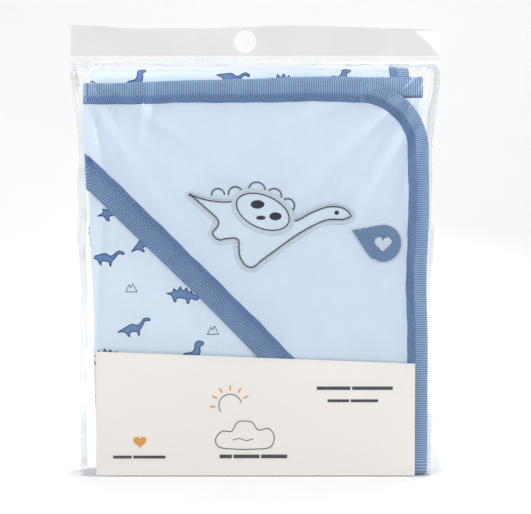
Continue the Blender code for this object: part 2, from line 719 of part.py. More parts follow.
def facing_out(thing):
    """Turns all faces of a closed mesh outwards."""
    mesh = bmesh.new()
    mesh.from_mesh(thing.data)
    bmesh.ops.recalc_face_normals(mesh, faces=mesh.faces[:])
    mesh.to_mesh(thing.data)
    mesh.free()


def bag_rows():
    shoulder = [ROOF_START - 2 * SHOULDER_DROP, ROOF_START - SHOULDER_DROP]
    turns = [0.5 * math.pi * k / ROOF_STEPS for k in range(ROOF_STEPS + 1)]
    roof = [ROOF_START + ROOF_RISE * math.sin(angle) for angle in turns]
    return [0.0, EAR_HEIGHT, 0.5 * ROOF_START] + shoulder + roof


def make_web(name, face_y, side):
    rows = bag_rows()
    inner = [web_section(z, face_y, side, 0.0) for z in rows]
    outer = [web_section(z, face_y, side, FILM) for z in rows]
    facing_out(add_object(name, *shell(inner, outer), CLEAR_FILM, 0.1))


def make_side_seal(name, side):
    """The welded edge of both webs. At the foot it flares to the bag's free flat corner."""
    near = []
    far = []
    for z in bag_rows():
        inner_x = bag_half_width(z) + FILM + SKIN_GAP
        flare = max(0.0, 1 - z / EAR_HEIGHT) * (HEADER_HALF - inner_x - SEAL_WIDTH)
        outer_x = inner_x + SEAL_WIDTH + flare
        y = seam_y(z)
        near.append([(side * inner_x, y - FILM, z), (side * outer_x, y - FILM, z)])
        far.append([(side * inner_x, y + FILM, z), (side * outer_x, y + FILM, z)])
    facing_out(add_object(name, *shell(near, far), CLEAR_FILM, 0.1))


def make_header_seal():
    half_depth = WEB_GAP / 2 + 2 * FILM
    low = (-HEADER_HALF, TOP_FOLD_Y - half_depth, ROOF_END + SKIN_GAP)
    high = (HEADER_HALF, TOP_FOLD_Y + half_depth, SEAL_TOP)
    add_object("header_seal", box_points(low, high), BOX_FACES, CLEAR_FILM, 0.2)


def make_header_sheet():
    """Flat header with its punched hanging hole. Its hinge is the crease over the seal."""
    foot = SKIN_GAP
    middle = HEADER_HEIGHT / 2
    sheet = bmesh.new()
    corners = ((-1, foot), (1, foot), (1, HEADER_HEIGHT), (-1, HEADER_HEIGHT))
    outline = [(side * HEADER_HALF, z) for side, z in corners]
    hole = ellipse(HANG_HOLE_RADIUS, HANG_HOLE_RADIUS, 0.0, 32, (HANG_HOLE_OFFSET, middle))
    loops = []
    for loop in (outline, hole):
        ends = [sheet.verts.new((x, -HEADER_THICKNESS / 2, z)) for x, z in loop]
        loops += [sheet.edges.new((a, b)) for a, b in zip(ends, ends[1:] + ends[:1])]
    bmesh.ops.triangle_fill(sheet, use_beauty=True, edges=loops)
    extruded = bmesh.ops.extrude_face_region(sheet, geom=sheet.faces[:])
    moved = [item for item in extruded["geom"] if isinstance(item, bmesh.types.BMVert)]
    bmesh.ops.translate(sheet, verts=moved, vec=(0.0, HEADER_THICKNESS, 0.0))
    bmesh.ops.recalc_face_normals(sheet, faces=sheet.faces[:])
    mesh = bpy.data.meshes.new("header_sheet")
    sheet.to_mesh(mesh)
    sheet.free()
    mesh.materials.append(principled("header_sheet", CLEAR_FILM, 0.15))
    header = bpy.data.objects.new("header_sheet", mesh)
    header.location = (0.0, TOP_FOLD_Y, HEADER_HINGE)
    bpy.context.scene.collection.objects.link(header)


def make_lip():
    """Flap along the mouth, folded up against the back web, with its strip of tape."""
    hinge = (0.0, LIP_HINGE_Y, 0.0)
    half = BAG_HALF - LIP_INSET
    near = LIP_HINGE_Y + SKIN_GAP / 2
    far = near + LIP_THICKNESS
    flap = box_points((-half, near, 2 * SKIN_GAP), (half, far, LIP_HEIGHT))
    add_object("closing_lip", flap, BOX_FACES, CLEAR_FILM, 0.1, hinge)
    top = LIP_HEIGHT - SEAL_WIDTH
    base = far + SKIN_GAP
    tape = box_points((-half, base, top - TAPE_HEIGHT), (half, base + TAPE_THICKNESS, top))
    add_object("adhesive_strip", tape, BOX_FACES, (0.80, 0.82, 0.80), 0.3, hinge)


def clear_scene():
    for thing in list(bpy.data.objects):
        bpy.data.objects.remove(thing, do_unlink=True)


def main():
    clear_scene()
    make_body_panel()
    make_edge_binding()
    make_edge_stitching()
    make_hood_panel()
    make_hood_binding()
    make_hood_stitching()
    make_dino()
    make_saddle()
    make_plates()
    make_eye()
    make_bubble()
    make_card()
    make_web("bag_front_film", FRONT_PAGE_Y - FILM_FRONT, -1)
    make_web("bag_back_film", FRONT_PAGE_Y + FILM_BACK, 1)
    make_side_seal("side_seal_left", -1)
    make_side_seal("side_seal_right", 1)
    make_header_seal()
    make_header_sheet()
    make_lip()


main()
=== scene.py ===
"""A hooded baby towel, folded in thirds each way, in a clear header bag with a card.

Everything sewn is worked out on the flat cloth and laid into the pack by one fold map. Flat
coordinates are u, from the hood corner along the top edge, v, from the hood corner down the front
page, and w, the height over the middle of the cloth. Lengths are in metres.
"""

import math

import bpy
import numpy as np
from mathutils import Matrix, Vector
from mathutils.geometry import delaunay_2d_cdt


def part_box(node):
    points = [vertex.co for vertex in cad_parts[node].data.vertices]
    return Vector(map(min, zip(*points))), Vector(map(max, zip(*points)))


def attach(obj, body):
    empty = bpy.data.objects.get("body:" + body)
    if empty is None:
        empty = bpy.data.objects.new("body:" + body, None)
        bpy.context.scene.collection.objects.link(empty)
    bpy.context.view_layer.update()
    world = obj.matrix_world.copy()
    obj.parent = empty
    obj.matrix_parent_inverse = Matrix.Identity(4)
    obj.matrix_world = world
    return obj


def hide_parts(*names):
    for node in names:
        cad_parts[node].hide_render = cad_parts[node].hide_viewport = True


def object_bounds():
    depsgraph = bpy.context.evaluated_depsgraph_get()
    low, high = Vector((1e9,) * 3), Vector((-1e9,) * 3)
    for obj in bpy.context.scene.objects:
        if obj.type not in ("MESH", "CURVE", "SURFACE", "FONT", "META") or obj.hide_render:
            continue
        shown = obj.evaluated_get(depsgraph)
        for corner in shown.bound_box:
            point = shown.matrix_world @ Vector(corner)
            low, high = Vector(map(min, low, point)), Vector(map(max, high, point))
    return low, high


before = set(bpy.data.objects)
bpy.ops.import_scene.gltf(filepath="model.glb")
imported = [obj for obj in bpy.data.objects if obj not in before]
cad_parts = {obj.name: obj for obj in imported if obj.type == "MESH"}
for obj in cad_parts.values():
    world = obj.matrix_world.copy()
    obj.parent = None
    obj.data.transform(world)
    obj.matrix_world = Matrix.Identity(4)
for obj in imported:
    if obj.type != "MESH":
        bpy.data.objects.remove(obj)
packed_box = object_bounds()
bpy.context.scene.view_settings.view_transform = "Standard"
PI = math.pi
FRONT = (0, -1, 0)

# ---------------------------------------------------------------- cloth and pack

SIDE = 0.760
CORNER = 0.050
HOOD_LEG = 0.334
HOOD_BINDING_WIDTH = 0.0187
HALF = 0.0005
BINDING_WIDTH = 0.0150
EDGE_X = 0.128644
FRONT_COLUMN = 0.253688
SECOND_COLUMN = 0.246924
OUTER_LEVEL = 0.0082
MIDDLE_LEVEL = 0.0058
INNER_LEVEL = 0.0011
LEFT_RADIUS = 0.0012
RIGHT_RADIUS = 0.00235
FOLD_RADIUS = 0.0010
FRONT_PAGE_Y = -0.00585
REAR_PAGE_Y = 0.00615
TOP_FOLD_Y = 0.00515
FOOT_TURN = 0.0122
TOP_FOLD_Z = 0.297276
FRONT_TOP = 0.294996
SKEW = 0.0045
PAST_EDGE = 0.0012
HOOD_RISE = 0.0015
HOOD_LEVEL = 0.00165
STITCH_BASE = 0.0013
HOOD_STITCH_BASE = 0.00268
APPLIQUE_BASE = 0.0022
PLATE_BASE = 0.00215
SADDLE_BASE = 0.0029

fine = np.random.default_rng(11)


def ease(x, low, high):
    """0 below low, 1 above high, and a smooth cubic between them."""
    t = np.clip((np.asarray(x, float) - low) / (high - low), 0.0, 1.0)
    return t * t * (3 - 2 * t)


def bump_line(x, middle, width):
    """A bell curve of height 1 round middle, falling to 0.37 at a distance of width."""
    return np.exp(-(((np.asarray(x, float) - middle) / width) ** 2))


def squared(angle, power):
    """Unit vector at an angle from +Y towards +Z, lengthened towards the corners of a square."""
    c, s = np.cos(angle), np.sin(angle)
    size = (np.abs(c) ** power + np.abs(s) ** power) ** (1 / power)
    return c / size, s / size


def down_path():
    """Rows of (length down the cloth, y, z, outward y, outward z) along the pages' inner face.

    Straight runs joined by turns. The two turns at the foot are squarish and the one at the top
    is round. A turn's length is measured on the outer column."""
    steps = 14
    reach = FOLD_RADIUS + OUTER_LEVEL
    t = np.linspace(0.0, 1.0, steps + 1)
    above = SKEW + PAST_EDGE
    rows = [np.array([[-above, FRONT_PAGE_Y, FRONT_TOP + above, -1.0, 0.0]])]
    length = FRONT_TOP - FOOT_TURN
    for centre_y, start in ((FRONT_PAGE_Y + FOLD_RADIUS, PI), (REAR_PAGE_Y - FOLD_RADIUS, 1.5 * PI)):
        oy, oz = squared(start + 0.5 * PI * t, 4.0)
        at = length + reach * 0.5 * PI * t
        y, z = centre_y + FOLD_RADIUS * oy, FOOT_TURN + FOLD_RADIUS * oz
        rows.append(np.stack([at, y, z, oy, oz], 1))
        length = at[-1] + (REAR_PAGE_Y - FRONT_PAGE_Y - 2 * FOLD_RADIUS if start == PI else 0.0)
    length += TOP_FOLD_Z - FOOT_TURN
    t = np.linspace(0.0, 1.0, 2 * steps + 1)
    oy, oz = squared(PI * t, 2.0)
    at = length + reach * PI * t
    rows.append(np.stack([at, TOP_FOLD_Y + FOLD_RADIUS * oy, TOP_FOLD_Z + FOLD_RADIUS * oz, oy, oz], 1))
    tail = SIDE + PAST_EDGE - at[-1]
    rows.append(np.array([[at[-1] + tail, TOP_FOLD_Y - FOLD_RADIUS, TOP_FOLD_Z - tail, -1.0, 0.0]]))
    return np.concatenate(rows)


def across_path():
    """Rows of (length along the cloth, x, height in the page, front side x, front side height).

    Three straight columns joined by two half circles."""
    steps = 16
    t = np.linspace(0.0, 1.0, steps + 1)
    left_x = EDGE_X - FRONT_COLUMN
    right_x = left_x + SECOND_COLUMN
    rows = [np.array([[-PAST_EDGE, EDGE_X + PAST_EDGE, OUTER_LEVEL, 0.0, 1.0]])]
    a = PI * (0.5 + t)
    middle = (OUTER_LEVEL + MIDDLE_LEVEL) / 2
    at = FRONT_COLUMN + PI * LEFT_RADIUS * t
    rows.append(np.stack([at, left_x + LEFT_RADIUS * np.cos(a), middle + LEFT_RADIUS * np.sin(a),
                          np.cos(a), np.sin(a)], 1))
    a = PI * (0.5 - t)
    middle = (MIDDLE_LEVEL + INNER_LEVEL) / 2
    at = at[-1] + SECOND_COLUMN + PI * RIGHT_RADIUS * t
    rows.append(np.stack([at, right_x + RIGHT_RADIUS * np.cos(a), middle + RIGHT_RADIUS * np.sin(a),
                          -np.cos(a), -np.sin(a)], 1))
    tail = SIDE + PAST_EDGE - at[-1]
    rows.append(np.array([[SIDE + PAST_EDGE, right_x - tail, INNER_LEVEL, 0.0, 1.0]]))
    return np.concatenate(rows)


DOWN = down_path()
ACROSS = across_path()
FOOT_START = FRONT_TOP - FOOT_TURN
FOOT_END = 0.321699
TOP_START = 0.606775
LEFT_FOLD_END = 0.257458
RIGHT_FOLD_START = 0.504382
SKEW_LINES = (LEFT_FOLD_END, RIGHT_FOLD_START, 0.512765, 0.730)
SETTLE_LINES = (0.081204, 0.106204, 0.213688, 0.238688)
SETTLE_DOWN = (FOOT_START - 0.010, FOOT_START, FOOT_END, FOOT_END + 0.010)


def soften(x, y, z):
    """The slack of a hand-folded pack, which moves all its layers together.

    The edges wave by up to a millimetre as sums of sines, more towards the top, and the back
    crowns by a few per cent of its depth, ten times as much as the front. Nothing moves at the foot."""
    high = ease(z, 0.0, 0.10)
    side = x / 0.13
    dx = 0.0007 * high * side * np.sin(z * 31 + 0.6) + 0.0004 * high * np.sin(z * 67 + side)
    dz = high * (0.0008 * np.sin(x * 24 + 0.9) + 0.0004 * np.sin(x * 61 + y * 90)) * ease(z, 0.1, 0.3)
    crown = np.where(y > 0, 0.07, 0.006) * high * np.cos(np.clip(side, -1, 1) * PI / 2)
    crown = crown * (1 - ease(z, 0.22, 0.31))
    wave = 0.0003 * high * np.sin(x * 43 + z * 29) * np.clip(np.abs(y) / 0.012, 0, 1) * np.sign(y)
    return x + dx, y * (1 + crown) + wave, z + dz


def fold(u, v, w):
    """Lays flat points into the pack: the width first, then the length, as two chained paths."""
    u, v, w = np.broadcast_arrays(np.asarray(u, float), v, w)
    down = v - SKEW * np.interp(u, SKEW_LINES, (0.0, 1.0, 1.0, 0.0))
    x, height, fx, fh = (np.interp(u, ACROSS[:, 0], ACROSS[:, k]) for k in (1, 2, 3, 4))
    y, z, oy, oz = (np.interp(down, DOWN[:, 0], DOWN[:, k]) for k in (1, 2, 3, 4))
    settled = np.interp(u, SETTLE_LINES, (0, 1, 1, 0)) * np.interp(down, SETTLE_DOWN, (0, 1, 1, 0))
    height = height + w * fh + 0.0025 * settled
    x = x + w * fx
    width = 1 - 0.030 * np.interp(down, (0.0, TOP_START), (0.0, 2.0))
    lean = 0.0135 * np.interp(down, (FOOT_END, TOP_START), (0.0, 1.0))
    x = EDGE_X - lean - (EDGE_X - x) * width
    return np.stack(soften(x, y + height * oy, z + height * oz), -1)


def before_fold(u):
    """1 over the front column, falling to 0 as the cloth comes to its left fold."""
    return 1 - ease(u, 0.235, 0.252)


def outward(u, v):
    """1 where the cloth's front side is the outside of the pack, on its two large faces."""
    front_page = ease(v, 0.0, 0.02) * (1 - ease(v, 0.250, 0.275))
    back_page = ease(v, 0.335, 0.360) * (1 - ease(v, 0.56, 0.60))
    return (front_page + back_page) * before_fold(u)


def edge_rise(u, v):
    """1 where the hood lies under the edge binding, falling to 0 past the end of its leg."""
    return 1 - ease(np.maximum(u, v), HOOD_LEG + 0.001, HOOD_LEG + 0.011)


def rounded(u, v):
    """Rounds the corners of a grid on the square, each corner's quarter pressed into a disc:
    a becomes a sqrt(1 - b b / 2), b becomes b sqrt(1 - a a / 2)."""
    a = np.clip((np.abs(u - SIDE / 2) - (SIDE / 2 - CORNER)) / CORNER, 0, 1)
    b = np.clip((np.abs(v - SIDE / 2) - (SIDE / 2 - CORNER)) / CORNER, 0, 1)
    du = np.sign(u - SIDE / 2) * CORNER * (a * np.sqrt(1 - b * b / 2) - a)
    dv = np.sign(v - SIDE / 2) * CORNER * (b * np.sqrt(1 - a * a / 2) - b)
    return u + du, v + dv


EDGE_RUN = SIDE - 2 * CORNER
QUARTER = EDGE_RUN + 0.5 * PI * CORNER
EDGE_LENGTH = 4 * QUARTER


def edge_point(s, inset):
    """The point at length s round the cloth's edge, moved inwards by inset: straight runs joined
    by quarter circles, the four sides being one side turned by right angles."""
    s, inset = np.broadcast_arrays(np.mod(s, EDGE_LENGTH), inset)
    side = np.floor(s / QUARTER).astype(int) % 4
    r = s - side * QUARTER
    a = np.clip((r - EDGE_RUN) / CORNER, 0.0, PI / 2)
    along = CORNER + np.minimum(r, EDGE_RUN) + (CORNER - inset) * np.sin(a)
    inward = CORNER - (CORNER - inset) * np.cos(a)
    u = np.choose(side, (along, SIDE - inward, SIDE - along, inward))
    v = np.choose(side, (inward, along, SIDE - inward, SIDE - along))
    return u, v


DIAGONAL_HALF = HOOD_LEG / math.sqrt(2) - (BINDING_WIDTH + 0.0002) * math.sqrt(2)


def diagonal_point(t, inset):
    """The point at length t from the middle of the hood's long edge, moved towards the corner by
    inset. Close to the edge binding the lengths shorten, so each end follows that binding."""
    t, inset = np.broadcast_arrays(np.asarray(t, float), inset)
    short = inset * ease(np.abs(t), DIAGONAL_HALF - 0.035, DIAGONAL_HALF)
    t = t - np.sign(t) * short
    return (HOOD_LEG / 2 + (t - inset) / math.sqrt(2), HOOD_LEG / 2 - (t + inset) / math.sqrt(2))


# ---------------------------------------------------------------- meshes


def quads(rows, columns, wrap_rows=False, wrap_columns=False):
    """Corner numbers of the faces between neighbouring points of a grid."""
    r = np.arange(rows if wrap_rows else rows - 1)[:, None]
    c = np.arange(columns if wrap_columns else columns - 1)[None, :]
    r2, c2 = (r + 1) % rows, (c + 1) % columns
    corners = np.broadcast_arrays(r * columns + c, r * columns + c2, r2 * columns + c2, r2 * columns + c)
    return np.stack(corners, -1).reshape(-1, 4)


def joined(parts):
    """Several (points, faces, uv) as one."""
    starts = np.cumsum([0] + [len(p[0]) for p in parts[:-1]])
    points = np.concatenate([p[0] for p in parts])
    faces = np.concatenate([p[1] + start for p, start in zip(parts, starts)])
    return points, faces, np.concatenate([p[2] for p in parts])


def piece(name, points, faces, uv, finish, body, slot, stands_for=(), smooth=True):
    """A mesh object from point, face and uv arrays, riding on its body."""
    faces = np.asarray(faces)
    mesh = bpy.data.meshes.new(name)
    mesh.vertices.add(len(points))
    mesh.vertices.foreach_set("co", np.asarray(points, np.float32).ravel())
    mesh.loops.add(faces.size)
    mesh.loops.foreach_set("vertex_index", faces.ravel().astype(np.int32))
    mesh.polygons.add(len(faces))
    mesh.polygons.foreach_set("loop_start", np.arange(0, faces.size, faces.shape[1], dtype=np.int32))
    mesh.update(calc_edges=True)
    layer = mesh.uv_layers.new(name="flat")
    layer.data.foreach_set("uv", np.asarray(uv, np.float32)[faces.ravel()].ravel())
    mesh.polygons.foreach_set("use_smooth", np.full(len(faces), smooth))
    mesh.materials.append(finish)
    mesh.validate()
    thing = bpy.data.objects.new(name, mesh)
    bpy.context.scene.collection.objects.link(thing)
    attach(thing, body)
    if stands_for:
        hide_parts(*stands_for)
    return thing


def thicken(thing, thickness, offset=0.0):
    """Gives an open surface its two sides and rim."""
    wall = thing.modifiers.new("wall", "SOLIDIFY")
    wall.thickness = thickness
    wall.offset = offset
    wall.use_even_offset = False
    return thing


def facing(points, faces, towards):
    """The faces turned, all together, so that on the whole they look along towards."""
    p = points[faces]
    normal = np.cross(p[:, 1] - p[:, 0], p[:, 2] - p[:, 0]).sum(0)
    return faces if normal @ np.asarray(towards, float) > 0 else faces[:, ::-1]


def facing_along(points, faces, towards):
    """The same for a folded sheet, with a direction of its own at each point."""
    p = points[faces]
    normal = np.cross(p[:, 1] - p[:, 0], p[:, 2] - p[:, 0])
    return faces[:, ::-1] if (normal * towards[faces[:, 0]]).sum() < 0 else faces


def sheet_piece(name, x, y, z, towards, finish, body, slot, stands_for=(), wrap=False, smooth=True):
    """A piece from a grid of places, its faces looking along towards and its uv its x and z."""
    grid = np.stack([*np.broadcast_arrays(x, y, z)], -1)
    points = grid.reshape(-1, 3)
    faces = facing(points, quads(*grid.shape[:2], wrap), towards)
    return piece(name, points, faces, points[:, (0, 2)], finish, body, slot, stands_for, smooth)


def volume(points, faces):
    """Signed volume of a closed mesh, from the tetrahedra under its faces."""
    p = points[faces]
    total = np.einsum("ij,ij->i", p[:, 0], np.cross(p[:, 1], p[:, 2])).sum()
    if faces.shape[1] == 4:
        total += np.einsum("ij,ij->i", p[:, 0], np.cross(p[:, 2], p[:, 3])).sum()
    return total


def facing_out(points, faces):
    """The faces of a closed mesh, turned so that they look outwards."""
    return faces if volume(points, faces) > 0 else faces[:, ::-1]


def wander(s):
    """Uneven width of a sewn strip, as a share of it: two slow sines of the length along it."""
    return 0.011 * np.sin(s * 2 * PI * 61 / EDGE_LENGTH) + 0.009 * np.sin(s * 2 * PI * 143 / EDGE_LENGTH)


def strip(place, s, profile, wrap=True):
    """A closed profile of (inset, height) points carried along an edge of the flat cloth.
    Heights may change along the way: profile is (rows, points, 2) or one row."""
    profile = np.broadcast_to(profile, (len(s), *np.shape(profile)[-2:]))
    u, v = place(s[:, None], profile[..., 0] * (1 + wander(s)[:, None]))
    points = fold(u, v, profile[..., 1])
    rows, columns = points.shape[:2]
    faces = quads(rows, columns, wrap, True)
    if not wrap:
        around = np.arange(columns // 2 - 1)
        cap = np.stack([around, around + 1, columns - 2 - around, columns - 1 - around], 1)
        faces = np.concatenate([faces, cap[:, ::-1], cap + (rows - 1) * columns])
    ring = np.broadcast_to(np.linspace(0, 1, columns), (rows, columns))
    uv = np.stack([np.broadcast_to(s[:, None], ring.shape), ring * 0.03], -1)
    points = points.reshape(-1, 3)
    return points, facing_out(points, faces), uv.reshape(-1, 2)


def thread(u, v, w, radius, sides=4, wrap=False):
    """A thread along points of the flat cloth: at each, a ring of sides points across the way
    it runs, half of it over the other half in height."""
    du, dv = np.gradient(u), np.gradient(v)
    size = np.maximum(np.hypot(du, dv), 1e-9)
    a = 2 * PI * (np.arange(sides) + 0.5) / sides
    out, up = np.cos(a)[None, :], np.sin(a)[None, :]
    r = np.broadcast_to(radius, u.shape)[:, None]
    points = fold(u[:, None] - dv[:, None] / size[:, None] * out * r,
                  v[:, None] + du[:, None] / size[:, None] * out * r, w[:, None] + up * r)
    rows = len(u)
    faces = quads(rows, sides, wrap, True)
    if not wrap:
        ends = np.array([np.arange(4), (rows - 1) * sides + np.arange(4)]) if sides == 4 else None
        faces = faces if ends is None else np.concatenate([faces, [ends[0][::-1]], [ends[1]]])
    run = np.concatenate([[0], np.cumsum(np.hypot(np.diff(u), np.diff(v)))])
    uv = np.stack(np.broadcast_arrays(run[:, None], np.arange(sides)[None, :] / sides), -1)
    points = points.reshape(-1, 3)
    return points, facing_out(points, faces), uv.reshape(-1, 2)


def inside(points, outline):
    """Which points lie inside a closed outline, by counting its sides crossed on the way right."""
    x, y = points[:, 0:1], points[:, 1:2]
    x0, y0 = outline[:, 0], outline[:, 1]
    x1, y1 = np.roll(x0, -1), np.roll(y0, -1)
    crosses = (y0 > y) != (y1 > y)
    at = x0 + (y - y0) * (x1 - x0) / np.where(np.abs(y1 - y0) < 1e-12, 1e-12, y1 - y0)
    return (crosses & (x < at)).sum(1) % 2 == 1


def depth_in(points, outline):
    """Distance of each point from the nearest side of a closed outline."""
    a, b = outline, np.roll(outline, -1, 0)
    side = b - a
    t = ((points[:, None] - a) * side).sum(-1) / np.maximum((side * side).sum(-1), 1e-15)
    near = a + np.clip(t, 0, 1)[..., None] * side
    return np.linalg.norm(points[:, None] - near, axis=-1).min(1)


def filled(outline, spacing):
    """Triangles that fill a closed outline, with a regular grid of points inside it."""
    outline = np.asarray(outline, float)
    low, high = outline.min(0), outline.max(0)
    x, y = (np.arange(low[k] + spacing / 2, high[k], spacing) for k in (0, 1))
    grid = np.stack(np.meshgrid(x, y), -1).reshape(-1, 2)
    grid = grid[inside(grid, outline)]
    grid = grid[depth_in(grid, outline) > 0.4 * spacing] if len(grid) else grid
    points = np.concatenate([outline, grid])
    count = len(outline)
    sides = [(k, (k + 1) % count) for k in range(count)]
    found = delaunay_2d_cdt([Vector(p) for p in points], sides, [list(range(count))], 1, 1e-9)
    return np.array([tuple(p) for p in found[0]]), np.array(found[2])


# ---------------------------------------------------------------- finishes


class Value:
    """A socket's value, so that sums on it can be written as sums."""

    def __init__(self, finish, socket):
        self.finish = finish
        self.socket = socket

    def sum(self, operation, first, second):
        return self.finish.node("Math", {"operation": operation}, {0: first, 1: second})

    def __add__(self, other):
        return self.sum("ADD", self, other)

    def __sub__(self, other):
        return self.sum("SUBTRACT", self, other)

    def __rsub__(self, other):
        return self.sum("SUBTRACT", other, self)

    def __mul__(self, other):
        return self.sum("MULTIPLY", self, other)

    def __pow__(self, other):
        return self.sum("POWER", self, other)

    def clipped(self):
        return self.finish.node("Clamp", None, {0: self})

    __radd__ = __add__
    __rmul__ = __mul__


class Finish:
    """A material and the nodes that make it."""

    def __init__(self, name):
        self.material = bpy.data.materials.new(name)
        self.material.use_nodes = True
        self.tree = self.material.node_tree
        self.shader = self.tree.nodes["Principled BSDF"]
        self.output = self.tree.nodes["Material Output"]

    def node(self, kind, settings=None, inputs=None, output=0):
        """Adds a node: its settings first, then its sockets' values or links."""
        made = self.tree.nodes.new("ShaderNode" + kind)
        for key, value in (settings or {}).items():
            setattr(made, key, value)
        for key, value in (inputs or {}).items():
            self.put(made.inputs[key], value)
        return Value(self, made.outputs[output])

    def put(self, socket, value):
        if isinstance(value, Value):
            self.tree.links.new(value.socket, socket)
        elif socket.type == "RGBA" and len(value) == 3:
            socket.default_value = (*value, 1.0)
        else:
            socket.default_value = value

    def set(self, **values):
        """Sets the main shader's sockets. Base_Color stands for Base Color, and so on."""
        for key, value in values.items():
            self.put(self.shader.inputs[key.replace("_", " ")], value)
        return self.material

    def flat(self):
        """Place on the flat cloth or along the piece, from its uv map, in metres."""
        return self.node("UVMap", {"uv_map": "flat"})

    def place(self):
        return self.node("TexCoord", output="Object")

    def parts(self, vector):
        made = self.node("SeparateXYZ", None, {0: vector})
        outs = made.socket.node.outputs
        return Value(self, outs[0]), Value(self, outs[1])

    def noise(self, vector, scale, detail=3.0, roughness=0.55):
        return self.node("TexNoise", None, {"Vector": vector, "Scale": scale, "Detail": detail,
                                            "Roughness": roughness})

    def wave(self, value, period, phase=0.0):
        """Sine of a length with the given period, from 0 to 1."""
        turn = self.node("Math", {"operation": "SINE"}, {0: value * (2 * PI / period) + phase})
        return turn * 0.5 + 0.5

    def mix(self, share, first, second):
        """A colour between two."""
        made = self.tree.nodes.new("ShaderNodeMix")
        made.data_type = "RGBA"
        self.put(made.inputs["Factor"], share)
        self.put(made.inputs[6], first)
        self.put(made.inputs[7], second)
        return Value(self, made.outputs[2])

    def bump(self, height, distance, strength=1.0):
        return self.node("Bump", None, {"Height": height, "Distance": distance, "Strength": strength})


def rgb(r, g, b):
    """Linear colour of an 8-bit screen colour."""
    c = np.array((r, g, b)) / 255
    return tuple(float(x) for x in np.where(c <= 0.04045, c / 12.92, ((c + 0.055) / 1.055) ** 2.4))


def cloth_finish(name):
    """A finish, its place on the flat cloth, and that place's two lengths."""
    f = Finish(name)
    flat = f.flat()
    return f, flat, *f.parts(flat)


def knit(name, light, dark, loop=0.0011):
    """Fine jersey: columns of small loops, soft light and dark patches, and a downy surface."""
    f, flat, u, v = cloth_finish(name)
    loops = f.wave(u, loop) * f.wave(v, loop * 0.8)
    cloud = f.noise(flat, 38.0)
    slub = f.noise(flat, 900.0, 2.0)
    tone = cloud * 0.6 + slub * 0.25 + loops * 0.15
    color = f.mix(tone, dark, light)
    height = loops * 0.6 + slub * 0.5 + cloud * 1.2
    return f.set(Base_Color=color, Roughness=0.82 + slub * 0.12, Normal=f.bump(height, 0.00022, 0.7),
                 Sheen_Weight=0.35, Sheen_Roughness=0.5)


def ribbed(name, light, dark, pitch=0.0017):
    """Rib knit: painted shade darkening the furrow at every rib, slow changes of tone along the strip,
    and a darker band by the lip, in the colour of the seam's thread."""
    f, flat, u, v = cloth_finish(name)
    rib = f.wave(u, pitch)
    cloud = f.noise(flat, 55.0)
    slub = f.noise(flat, 1300.0, 2.0)
    # painted shade: the rib wave pulls the colour to dark in every furrow; cloud and slub are random tone
    color = f.mix(rib * 0.9 + cloud * 0.25 + slub * 0.15 - 0.12, dark, light)
    lip_band, lip_shade = 0.0048, rgb(50, 94, 154)
    color = f.mix(((lip_band - v) * 3000).clipped() * 0.7, color, lip_shade)
    return f.set(Base_Color=color, Roughness=0.8 + slub * 0.12,
                 Normal=f.bump(rib + slub * 0.4, 0.00025, 0.8), Sheen_Weight=0.15, Sheen_Roughness=0.5)


def spun(name, light, dark, twist=0.0012, roughness=0.5, patches=0.3, sheen=0.15):
    """Spun thread: the plies' slanting shadows, from the length along it and the turn round it."""
    f, flat, u, v = cloth_finish(name)
    plies = f.wave(u + v * twist, twist)
    tone = plies * (1 - patches) + f.noise(flat, 700.0) * patches
    return f.set(Base_Color=f.mix(tone, dark, light), Roughness=roughness + plies * 0.15,
                 Normal=f.bump(plies, 0.0001, 0.6), Sheen_Weight=sheen)


def printed(name, light, dark):
    """Ink on knit: the loops show through it as small pale gaps."""
    f, flat, u, v = cloth_finish(name)
    loops = f.wave(u, 0.0011) * f.wave(v, 0.0009)
    speck = f.noise(flat, 1500.0, 2.0)
    cloud = f.noise(flat, 160.0)
    color = f.mix(cloud * 0.6 + speck * 0.3 + loops * 0.25, dark, light)
    return f.set(Base_Color=color, Roughness=0.85 + speck * 0.1,
                 Normal=f.bump(loops + speck * 0.5, 0.0001, 0.5))


def board(name, light, dark):
    """Uncoated card: faint fibres and a slow unevenness of tone."""
    f = Finish(name)
    place = f.place()
    fibre = f.noise(place, 900.0, 4.0, 0.7)
    cloud = f.noise(place, 14.0)
    return f.set(Base_Color=f.mix(fibre * 0.5 + cloud * 0.5, dark, light), Roughness=0.62 + fibre * 0.1,
                 Normal=f.bump(fibre, 0.00003, 0.5), Coat_Weight=0.05)


def ink(name, color, dark):
    """Print on card: even ink with a slight grain."""
    f = Finish(name)
    grain = f.noise(f.place(), 1400.0, 2.0)
    return f.set(Base_Color=f.mix(grain, color, dark), Roughness=0.5 + grain * 0.1)


